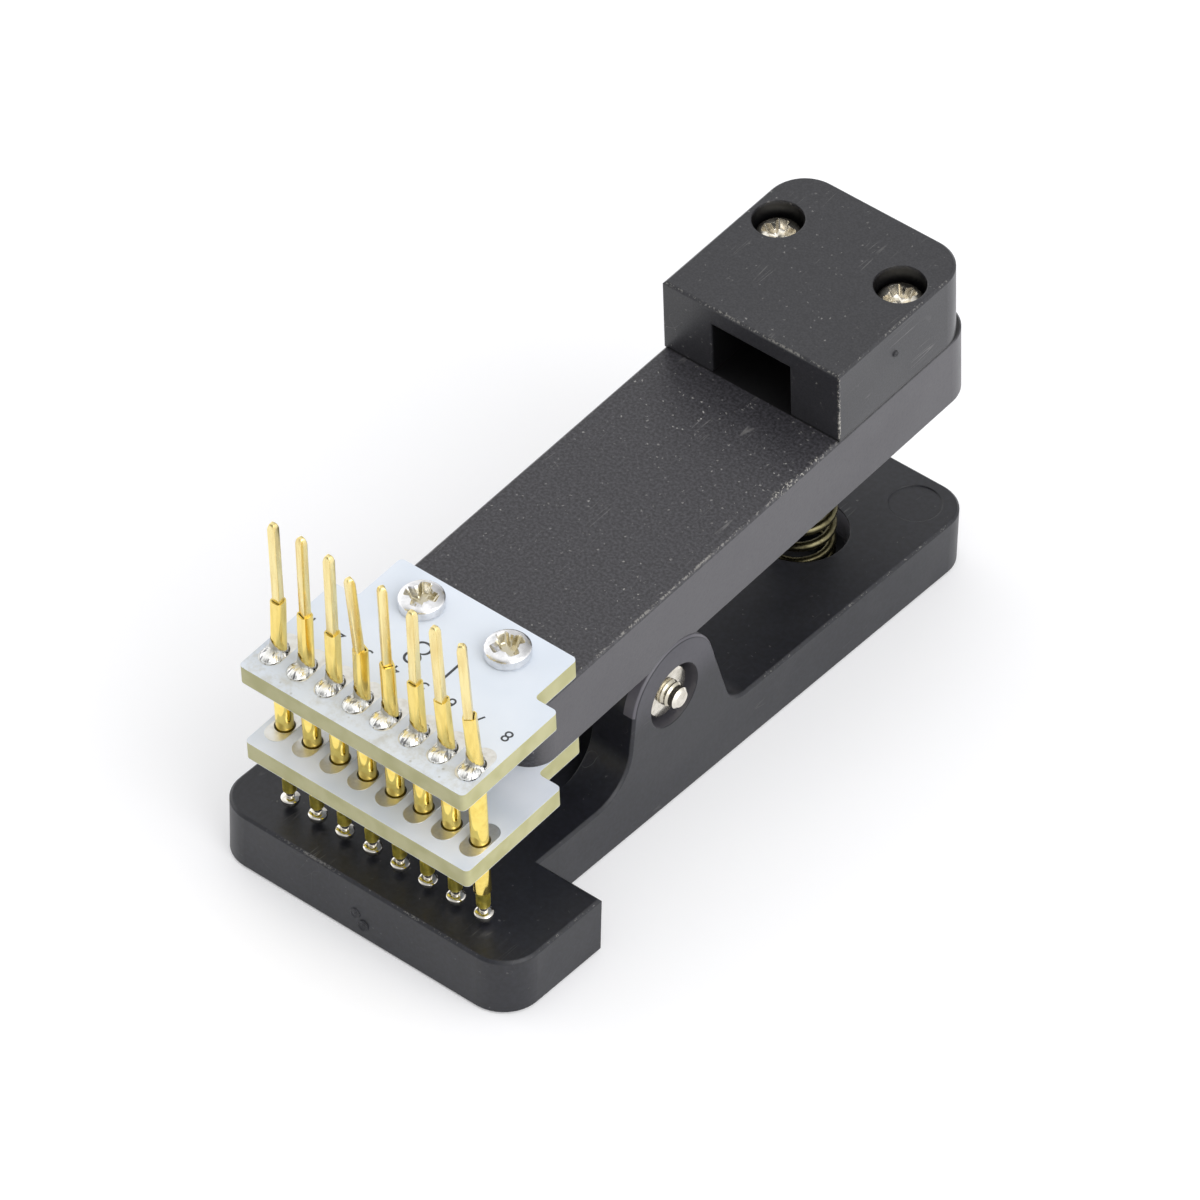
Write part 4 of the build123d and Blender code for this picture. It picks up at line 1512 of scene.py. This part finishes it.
@dataclass
class BoardSet:
    """Both boards with their tinned pads and printed numbers."""

    jaw: Jaw
    finishes: Finishes
    pad_w: float = 1.8
    pad_l: float = 3.5
    pad_t: float = 0.035
    pad_hole_r: float = 0.78
    ink_t: float = 0.012
    number_size: float = 1.05
    number_behind: float = 3.4  # how far a number stands behind its tube
    range_size: float = 2.6
    range_weight: float = -0.022
    range_place: tuple[float, float] = (0.4, 6.2)  # across, and in front of the board's rear edge
    font_size: float = 1.4  # size of the font for letters one high

    def build(self) -> None:
        """Dress both boards and model what lies on them."""
        row_y = self.jaw.span("receptacle_1").middle.y
        # The lower board's mask colour is paler than the upper's as painted light; both boards have the
        # same white mask
        for node, haze, mask in (("upper_board", 0.75, "#dde4ee"), ("lower_board", 0.0, "#eaeff8")):
            span = self.jaw.span(node)
            finish = MaskedBoard(f"solder_mask_{node}", span.low.z, span.high.z, row_y, haze, mask)
            dress(frame["nodes"][node], finish.build(self.jaw))
            self.pads(node, span)
        self.numbers()

    def pads(self, node: str, span: Span) -> None:
        """Lay a row of long pads on both faces of a board.

        Args:
            node: The board's CAD node.
            span: The board's box in the level frame.
        """
        pattern = self.pad()
        laid = []
        for number in range(1, PROBES + 1):
            tube = self.jaw.span(f"receptacle_{number}").middle
            for name, height in (("top", span.high.z), ("under", span.low.z - self.pad_t)):
                spot = Matrix.Translation(Vector((tube.x, tube.y, height)) * MM)
                laid.append(copy(pattern, f"{node}_pad_{number}_{name}", spot))
        bpy.data.objects.remove(pattern)
        pads = dress(join(laid, f"{node}_pads"), self.finishes.tin)
        self.jaw.fit(pads)
        LOG.info("%s: %d pads", pads.name, len(laid))

    def pad(self) -> Object:
        """Model one pad, upright on height zero.

        Returns:
            The pad.
        """
        pad = drum("pad", self.pad_w / 2, 0, self.pad_t)
        stretch = (self.pad_l - self.pad_w) / 2
        edit(pad, Part.VERT)
        for side in (-1, 1):
            pick(pad, Part.VERT, lambda p, n: side * p.y > 1e-3)
            bpy.ops.transform.translate(value=(0, side * stretch * MM, 0))
        release()
        combine(pad, drum("hole_tool", self.pad_hole_r, -1, 1))
        soften(pad, 0.012, 1, 40)
        return tidy(pad)

    def numbers(self) -> None:
        """Print plain pin numbers behind the row, and the range of pins larger beside them."""
        top = self.jaw.span("upper_board").high.z
        prints = []
        for number in range(1, PROBES + 1):
            tube = self.jaw.span(f"receptacle_{number}").middle
            place = (tube.x, tube.y + self.number_behind, top)
            prints.append(self.glyph(str(number), self.number_size, 0.0, place))
        across, ahead = self.range_place
        place = (across, self.jaw.span("upper_board").high.y - ahead, top)
        prints.append(self.glyph(f"1-{PROBES}", self.range_size, self.range_weight, place))
        ink = dress(join(prints, "upper_board_numbers"), self.finishes.ink)
        self.jaw.fit(ink)
        LOG.info("%s: plain numbers", ink.name)

    def glyph(self, text: str, size: float, weight: float, place: tuple[float, float, float]) -> Object:
        """Print a short text on a board, read from the cable end.

        Args:
            text: The text.
            size: Height of the letters in millimetres.
            weight: How much fuller the strokes are, as a share of the size.
            place: Its middle on the board's face.

        Returns:
            The text as a mesh.
        """
        release()
        bpy.ops.object.text_add(location=(0, 0, 0))
        obj = named(f"number_{text}")
        obj.data.body = text
        obj.data.size = size * self.font_size * MM
        obj.data.extrude = self.ink_t / 2 * MM
        obj.data.offset = weight * obj.data.size
        obj.data.align_x = "CENTER"
        obj.data.align_y = "CENTER"
        bpy.ops.object.convert(target="MESH")
        obj = named(f"number_{text}")
        spot = Matrix.Translation((Vector(place) + Vector((0, 0, self.ink_t / 2))) * MM)
        return settle(obj, spot @ Matrix.Rotation(math.pi, 4, "Z"))


# Probe row


@dataclass(frozen=True)
class Stance:
    """How one hand-soldered tube and its post stand: sideways places in millimetres, and the turn."""

    rim: tuple[float, float]
    tip: tuple[float, float]
    turn: float
    short: float = 0.0


STANCES = (Stance((0.12, 0.15), (0.15, 0.17), 5), Stance((-0.07, 0.25), (0.03, 0.30), -15),
           Stance((0.0, 0.11), (0.10, 0.14), 0), Stance((0.03, 0.05), (0.05, -0.54), -20),
           Stance((-0.14, 0.10), (-0.20, 0.13), -32), Stance((-0.1, 0.0), (-0.05, 0.05), 2, 0.6),
           Stance((-0.16, -0.12), (-0.05, -0.50), 5), Stance((-0.17, -0.17), (-0.07, -0.66), 32))


@dataclass
class ProbeRow:
    """Eight sprung probes: tube, wire post, solder, barrel and plunger in each place."""

    jaw: Jaw
    finishes: Finishes
    count: int = PROBES
    tube_r: float = 0.66
    neck_r: float = 0.57
    neck_flat: float = 0.475  # middle to a flat of the part that is crimped square
    bore_r: float = 0.52
    cup_r: float = 0.47
    cup_flat: float = 0.34
    post_w: float = 0.64
    post_taper_h: float = 0.55
    shaft_r: float = 0.33
    head_r: float = 0.70
    barrel_r: float = 0.51
    lump_half: tuple[float, float, float] = (0.84, 0.50, 0.92)  # across, up and along
    lump_ahead: float = 0.8
    meridians: int = 48  # round a lump, with wrinkles on some of them

    def build(self) -> None:
        """Model one of each piece, then copy it to every place."""
        self.foot = Vector((0, 0, self.jaw.span("upper_board").high.z + 0.1))
        self.tube_rise = self.jaw.span("receptacle_1").high.z - self.foot.z
        self.row("receptacle", self.tube(), self.finishes.bright_gold, Slot.GOLD)
        self.row("probe_barrel", self.barrel(), self.finishes.olive_gold, Slot.GOLD)
        self.row("plunger", self.plunger(), self.finishes.tip_nickel, Slot.TIP)
        self.posts()
        self.solder()

    def spots(self, node: str) -> list[Vector]:
        """Places of the numbered nodes of one kind.

        Args:
            node: The nodes' name without the number.

        Returns:
            Their middles in the level frame, at height zero.
        """
        middles = [self.jaw.span(f"{node}_{number}").middle for number in range(1, self.count + 1)]
        return [Vector((middle.x, middle.y, 0)) for middle in middles]

    def row(self, node: str, pattern: Object, material: Material, slot: Slot) -> None:
        """Copy a piece to its eight places, each standing for its CAD node.

        Args:
            node: The nodes' name without the number.
            pattern: The piece about the Z axis, which is used up.
            material: Its material.
            slot: Its slot of the record; not used.
        """
        for number, (spot, stance) in enumerate(zip(self.spots(node), STANCES), 1):
            turn = Matrix.Rotation(math.radians(stance.turn), 4, "Z")
            piece = copy(pattern, f"{node}_{number}_detailed", Matrix.Translation(spot * MM) @ turn)
            if node == "receptacle":
                self.lean(piece, spot + self.foot, self.tube_rise, stance.rim)
            dress(piece, material)
            body = Body.plunger(number) if node == "plunger" else Body.JAW.value
            self.jaw.fit(piece, f"{node}_{number}", body=body)
        bpy.data.objects.remove(pattern)
        LOG.info("%s: %d pieces", node, self.count)

    def lean(self, obj: Object, foot: Vector, rise: float, aside: tuple[float, float]) -> None:
        """Turn the part of a piece above a point, so that it leans.

        Args:
            obj: The piece, level.
            foot: The point that stays.
            rise: Height over the foot at which the piece is moved aside by the full amount.
            aside: How far, in X and Y.
        """
        edit(obj, Part.VERT)
        pick(obj, Part.VERT, lambda p, n: p.z > foot.z)
        for angle, axis in ((-aside[1] / rise, "X"), (aside[0] / rise, "Y")):
            bpy.ops.transform.rotate(value=-angle, orient_axis=axis, center_override=foot * MM)
        release()

    def tube(self) -> Object:
        """Model a receptacle tube about the Z axis, crimped square above the board.

        Returns:
            The tube.
        """
        span = self.jaw.span("receptacle_1")
        board_top = self.jaw.span("upper_board").high.z
        rim, mouth = span.high.z, span.low.z
        floor = self.jaw.span("probe_barrel_1").high.z + 0.02
        cup_floor = self.jaw.span("wire_posts").low.z + 0.05
        outer, neck, bore, cup = self.tube_r, self.neck_r, self.bore_r, self.cup_r
        profile = [(0, floor), (bore, floor), (bore, mouth + 0.03), (bore + 0.03, mouth),
                   (outer - 0.04, mouth), (outer, mouth + 0.05), (outer, board_top - 0.1),
                   (neck, board_top + 0.1), (neck, board_top + 0.9), (neck, board_top + 1.1),
                   (neck, rim - 0.05), (neck - 0.02, rim), (cup + 0.02, rim), (cup, rim - 0.03),
                   (cup, cup_floor), (0, cup_floor)]
        tube = lathe("tube", profile, steps=32)
        edit(tube, Part.VERT)
        self.press(tube, board_top + 1.0, cup - 0.1, (cup + neck) / 2, self.cup_flat)
        self.press(tube, board_top + 1.0, (cup + neck) / 2, neck + 0.1, self.neck_flat)
        release()
        return tidy(tube, 30)

    def press(self, tube: Object, above: float, inside: float, outside: float, flat: float) -> None:
        """Press the upper part of a tube's wall square.

        Args:
            tube: The tube, open in edit mode.
            above: Height from which it is pressed, in millimetres.
            inside: Only points further from the middle than this move.
            outside: Only points nearer than this move.
            flat: Where the four flats stand, from the middle.
        """
        for axis in (0, 1):
            for side in (-1, 1):
                pick(tube, Part.VERT, lambda p, n: p.z > above and side * p[axis] > flat
                     and inside < math.hypot(p.x, p.y) < outside)
                squeeze, centre = [1.0, 1.0, 1.0], [0.0, 0.0, 0.0]
                squeeze[axis], centre[axis] = 0.0, side * flat * MM
                bpy.ops.transform.resize(value=squeeze, center_override=centre)

    def barrel(self) -> Object:
        """Model a probe barrel about the Z axis, with a rolled lip below.

        Returns:
            The barrel.
        """
        span = self.jaw.span("probe_barrel_1")
        outer, bore, lip = self.barrel_r, self.barrel_r - 0.09, self.shaft_r + 0.03
        low, high = span.low.z, span.high.z
        profile = [(0, high), (outer - 0.1, high), (outer, high - 0.1), (outer, low + 0.1),
                   (outer - 0.04, low + 0.03), (outer - 0.1, low), (lip, low + 0.02),
                   (lip, low + 0.3), (bore, low + 0.3), (bore, high - 0.3), (0, high - 0.3)]
        return lathe("barrel", profile, steps=32)

    def plunger(self) -> Object:
        """Model a plunger about the Z axis, with a ball-shaped head that is cut off low above.

        Returns:
            The plunger.
        """
        span = self.jaw.span("plunger_1")
        tip, tail_top = span.low.z, span.high.z
        tail_r, tail_bottom = 0.39, span.high.z - 2.0
        shaft, head = self.shaft_r, self.head_r
        ball = arc((0, tip + head), head, 10, -90, 14)
        brow = tip + 0.96
        profile = [(0, tail_top), (tail_r - 0.03, tail_top), (tail_r, tail_top - 0.03),
                   (tail_r, tail_bottom + 0.03), (tail_r - 0.03, tail_bottom), (shaft, tail_bottom),
                   (shaft, brow), (head - 0.2, brow - 0.03), (head - 0.07, brow - 0.08), *ball[:-1],
                   (0, tip)]
        return lathe("plunger", profile, steps=36)

    def posts(self) -> None:
        """Model the square wire posts with bullet-shaped ends, and stand them in the tubes."""
        span = self.jaw.span("wire_posts")
        length = span.high.z - span.low.z - self.post_taper_h
        post = brick("post", (self.post_w, self.post_w, length), (0, 0, span.low.z + length / 2))
        edit(post, Part.FACE)
        for rise, share in ((0.45, 0.86), (0.35, 0.80), (0.20, 0.62)):
            pick(post, Part.FACE, lambda p, n: n.z > 0.9 and p.z > span.low.z + 1)
            step = (0, 0, rise * self.post_taper_h * MM)
            bpy.ops.mesh.extrude_region_move(TRANSFORM_OT_translate={"value": step})
            bpy.ops.transform.resize(value=(share, share, 1), center_override=(0, 0, 0))
        release()
        soften(post, 0.07, 3, 12)
        tidy(post, 50)
        rim = self.jaw.span("receptacle_1").high.z
        made = []
        for spot, stance in zip(self.spots("receptacle"), STANCES):
            turn = Matrix.Rotation(math.radians(stance.turn), 4, "Z")
            root = Vector((*stance.rim, -stance.short)) * MM
            stood = copy(post, f"post_{len(made) + 1}", Matrix.Translation(spot * MM + root) @ turn)
            aside = (stance.tip[0] - stance.rim[0], stance.tip[1] - stance.rim[1])
            foot = spot + Vector((root.x / MM, root.y / MM, rim - 1.0))
            self.lean(stood, foot, span.high.z - rim, aside)
            made.append(stood)
        bpy.data.objects.remove(post)
        row = dress(join(made, "wire_posts_detailed"), self.finishes.satin_gold)
        self.jaw.fit(row, "wire_posts")
        LOG.info("%s: %d posts", row.name, self.count)

    def solder(self) -> None:
        """Model the solder: a lump in front of each tube, and a film that climbs the tube's front."""
        top = self.jaw.span("upper_board").high.z
        lump = self.lump()
        film = self.film()
        made = []
        for spot, stance in zip(self.spots("receptacle"), STANCES):
            place = Matrix.Translation((spot + Vector((0, 0, top + 0.03))) * MM)
            sway = Matrix.Rotation(math.radians(stance.turn / 4), 4, "Z")
            made.append(copy(lump, f"lump_{len(made)}", place @ sway))
            climbing = copy(film, f"film_{len(made)}", place @ sway)
            self.lean(climbing, spot + self.foot, self.tube_rise, stance.rim)
            made.append(climbing)
        for pattern in (lump, film):
            bpy.data.objects.remove(pattern)
        row = dress(join(made, "solder_joints_detailed"), self.finishes.solder)
        self.jaw.fit(row, "solder_joints")
        LOG.info("%s: %d joints", row.name, self.count)

    def lump(self) -> Object:
        """Model a lump of solder with wrinkles that fan out from the tube.

        Returns:
            The lump, in front of a tube on the Z axis.
        """
        release()
        wide, tall, _ = self.lump_half
        middle = (0, -self.lump_ahead * MM, 0)
        bpy.ops.mesh.primitive_uv_sphere_add(segments=self.meridians, ring_count=16, radius=MM,
                                             location=middle, rotation=(math.pi / 2, 0, 0))
        lump = named("lump")
        lump.scale = self.lump_half
        settle(lump)
        edit(lump, Part.VERT)
        for spacing, share in ((3, 0.95), (7, 0.96)):
            pick(lump, Part.VERT, lambda p, n: p.z > 0.08
                 and round(math.atan2(p.x / wide, p.z / tall) / TURN * self.meridians) % spacing == 0)
            bpy.ops.transform.resize(value=(share, 1, share), center_override=middle)
        bpy.ops.mesh.select_all(action="SELECT")
        bpy.ops.mesh.bisect(plane_co=(0, 0, -0.03 * MM), plane_no=(0, 0, 1), clear_inner=True,
                            use_fill=True)
        release()
        return tidy(lump, 60)

    def film(self) -> Object:
        """Model the film of solder that climbs the front of a tube.

        Returns:
            The film, round a tube on the Z axis, with a slanting upper edge.
        """
        wall = self.neck_r - 0.08
        outline = [(wall, -0.02), (0.88, -0.02), (0.79, 0.10), (0.72, 0.28), (0.67, 0.5), (0.63, 0.8),
                   (0.60, 1.2), (0.592, 1.8), (wall, 1.8)]
        film = lathe("film", outline, steps=40, closed=True)
        edit(film, Part.FACE)
        bpy.ops.mesh.select_all(action="SELECT")
        bpy.ops.mesh.bisect(plane_co=(0, 0, 0.6 * MM), plane_no=(0.73, 0.60, 1.0), clear_outer=True,
                            use_fill=True)
        release()
        return tidy(film, 50)


# Moulded parts


@dataclass
class Mouldings:
    """The base, the arm and the cap, which keep their CAD shapes, and the marks of moulding on them."""

    jaw: Jaw
    finishes: Finishes

    def build(self) -> None:
        """Dress the mouldings and add the marks on them."""
        nodes = frame["nodes"]
        for node, material in (("base", self.finishes.base), ("arm", self.finishes.arm),
                               ("cable_clamp_cap", self.finishes.cap)):
            dress(nodes[node], material)
            LOG.info("%s: moulded plastic", node)
        self.gate_stubs()
        self.gate_nub()

    def gate_stubs(self) -> None:
        """Two torn stubs of the moulding gate on the platform's front face."""
        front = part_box("base")[0].y / MM
        stubs = []
        for number, (x, z, radius) in enumerate(((-0.35, 2.1, 0.45), (0.4, 1.35, 0.48))):
            spot = Matrix.Translation(Vector((x, front, z)) * MM) @ Matrix.Rotation(math.pi / 2, 4, "X")
            stubs.append(settle(self.stub(f"stub_{number}", radius, 0.1 + 0.05 * number), spot))
        pair = dress(join(stubs, "base_gate_stubs"), self.finishes.base)
        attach(pair, Body.BASE.value)
        LOG.info("%s: two stubs", pair.name)

    def gate_nub(self) -> None:
        """Small nub of the moulding gate on the cap's right side."""
        cap = self.jaw.span("cable_clamp_cap")
        nub = self.stub("cap_gate_nub", 0.28, 0.12)
        spot = Matrix.Translation(Vector((cap.high.x, cap.low.y + 6.4, cap.low.z + 3.8)) * MM)
        settle(nub, spot @ Matrix.Rotation(math.pi / 2, 4, "Y"))
        self.jaw.fit(dress(nub, self.finishes.cap))
        LOG.info("%s: one nub", nub.name)

    def stub(self, name: str, radius: float, height: float) -> Object:
        """Model a torn stub, a ring with a rough middle, about the Z axis.

        Args:
            name: The stub's name.
            radius: Its outer radius in millimetres.
            height: How far it stands out.

        Returns:
            The stub.
        """
        outline = [(0, -0.1), (radius, -0.1), (radius, height * 0.6), (radius * 0.85, height),
                   (radius * 0.6, height * 0.4), (radius * 0.35, height * 0.5), (0, height * 1.3)]
        stub = lathe(name, outline, steps=14)
        edit(stub, Part.VERT)
        pick(stub, Part.VERT, lambda p, n: p.z > height * 0.3 and p.x > radius * 0.2)
        bpy.ops.transform.translate(value=(0, radius * 0.15 * MM, -height * 0.35 * MM))
        release()
        return tidy(stub, 25)


# Studio and camera


@dataclass(frozen=True)
class Glow:
    """Soft light from one side of the surround, strongest straight along a direction."""

    towards: tuple[float, float, float]
    strength: float
    narrow: float = 2.0  # power of the fall-off


@dataclass
class Studio:
    """Pale floor, softly graded surround and a large soft lamp."""

    floor_size: float = 6.0
    floor_shade: str = "#e6e6e8"
    lift: float = 0.24
    glows: tuple[Glow, ...] = (Glow((1, 0, 0), 1.9), Glow((-1, 0, 0), 1.65), Glow((0, -1, 0), 0.25),
                               Glow((0, 1, 0), 0.5), Glow((0, 0, 1), 1.33, 4.0))
    lamp_place: tuple[float, float, float] = (0.5, -0.1, 0.4)
    lamp_size: float = 0.5
    lamp_power: float = 1.2

    def build(self) -> None:
        """Make the floor, the world and the lamp."""
        release()
        bpy.ops.mesh.primitive_grid_add(x_subdivisions=4, y_subdivisions=4, size=self.floor_size)
        floor = named("studio_floor")
        floor.data.materials.append(self.floor_material())
        self.world()
        bpy.ops.object.light_add(type="AREA", location=self.lamp_place)
        lamp = bpy.context.object
        lamp.name = "key_lamp"
        lamp.data.size = self.lamp_size
        lamp.data.energy = self.lamp_power
        lamp.rotation_euler = Vector(self.lamp_place).to_track_quat("Z", "Y").to_euler()
        LOG.info("studio: floor, surround and lamp")

    def floor_material(self) -> Material:
        """Make the floor's finish, which shows white to the camera and keeps the shadow.

        Returns:
            The material.
        """
        material, tree = start_material("studio_paper")
        path = add_node(tree, Kind.LIGHT_PATH, {}, {}).outputs
        direct = add_node(tree, Kind.MATH, {"operation": "MAXIMUM"},
                          {0: path["Is Camera Ray"], 1: path["Is Glossy Ray"]})
        seen = add_node(tree, Kind.MATH, {"operation": "MAXIMUM"},
                        {0: direct, 1: path["Is Transmission Ray"]})
        lifted = add_node(tree, Kind.MATH, {"operation": "MULTIPLY", 1: self.lift}, {0: seen})
        matt = {"Base Color": colour(self.floor_shade), "Roughness": 0.9, "Specular IOR Level": 0.0,
                "Emission Color": (1, 1, 1, 1)}
        shader = add_node(tree, Kind.SURFACE, matt, {"Emission Strength": lifted})
        add_node(tree, Kind.OUTPUT, {}, {"Surface": shader})
        return material

    def world(self) -> None:
        """Make the surround, which glows from the sides and from above."""
        world = bpy.data.worlds.new("studio_surround")
        bpy.context.scene.world = world
        world.use_nodes = True
        tree = world.node_tree
        tree.nodes.clear()
        where = add_node(tree, Kind.COORDINATES, {}, {}).outputs["Generated"]
        total: Optional[Node] = None
        for glow in self.glows:
            dot = add_node(tree, Kind.VECTOR, {"operation": "DOT_PRODUCT", 1: glow.towards}, {0: where})
            facing = add_node(tree, Kind.MATH, {"operation": "MAXIMUM", 1: 0.0}, {0: dot})
            lobe = add_node(tree, Kind.MATH, {"operation": "POWER", 1: glow.narrow}, {0: facing})
            total = add_node(tree, Kind.MATH, {"operation": "MULTIPLY_ADD", 1: glow.strength, 2: 0.0},
                             {0: lobe, 2: total})
        back = add_node(tree, Kind.BACKGROUND, {"Color": (1, 1, 1, 1)}, {"Strength": total})
        add_node(tree, Kind.WORLD_OUTPUT, {}, {"Surface": back})


@dataclass
class PhotoCamera:
    """Camera at the photograph's place and angle, in the row frame."""

    place_mm: tuple[float, float, float] = (293.673, -367.353, 442.466)
    right: tuple[float, float, float] = (0.771335, 0.636154, 0.018728)
    down: tuple[float, float, float] = (0.438788, -0.510254, -0.739666)
    ahead: tuple[float, float, float] = (-0.460986, 0.578747, -0.672714)
    lens_mm: float = 270.0
    sensor_mm: float = 36.0

    def build(self) -> None:
        """Make the camera and look through it."""
        release()
        bpy.ops.object.camera_add()
        camera = named("photo_camera")
        camera.data.lens = self.lens_mm
        camera.data.sensor_width = self.sensor_mm
        turn = Matrix((self.right, -Vector(self.down), -Vector(self.ahead))).transposed().to_4x4()
        camera.matrix_world = Matrix.Translation(Vector(self.place_mm) * MM) @ turn
        bpy.context.scene.camera = camera
        LOG.info("camera: %.0f mm lens", self.lens_mm)


def clear_factory_objects() -> None:
    """Remove the cube, lamp and camera that a new Blender file starts with."""
    for name in ("Cube", "Light", "Camera"):
        if name in bpy.data.objects:
            bpy.data.objects.remove(bpy.data.objects[name])


def main() -> None:
    """Build the clip around its frame, then the studio and the camera."""
    logging.basicConfig(level=logging.INFO, format="%(name)s: %(message)s")
    clear_factory_objects()
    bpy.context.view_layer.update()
    bpy.context.scene.view_settings.view_transform = "Standard"
    jaw = Jaw.read(frame)
    finishes = Finishes(jaw)
    Mouldings(jaw, finishes).build()
    Fasteners(jaw, finishes).build()
    CoilSpring(finishes).build()
    BoardSet(jaw, finishes).build()
    ProbeRow(jaw, finishes).build()
    ProbeSprings(jaw, finishes).build()
    Studio().build()
    PhotoCamera().build()
    release()


if __name__ == "__main__":
    main()
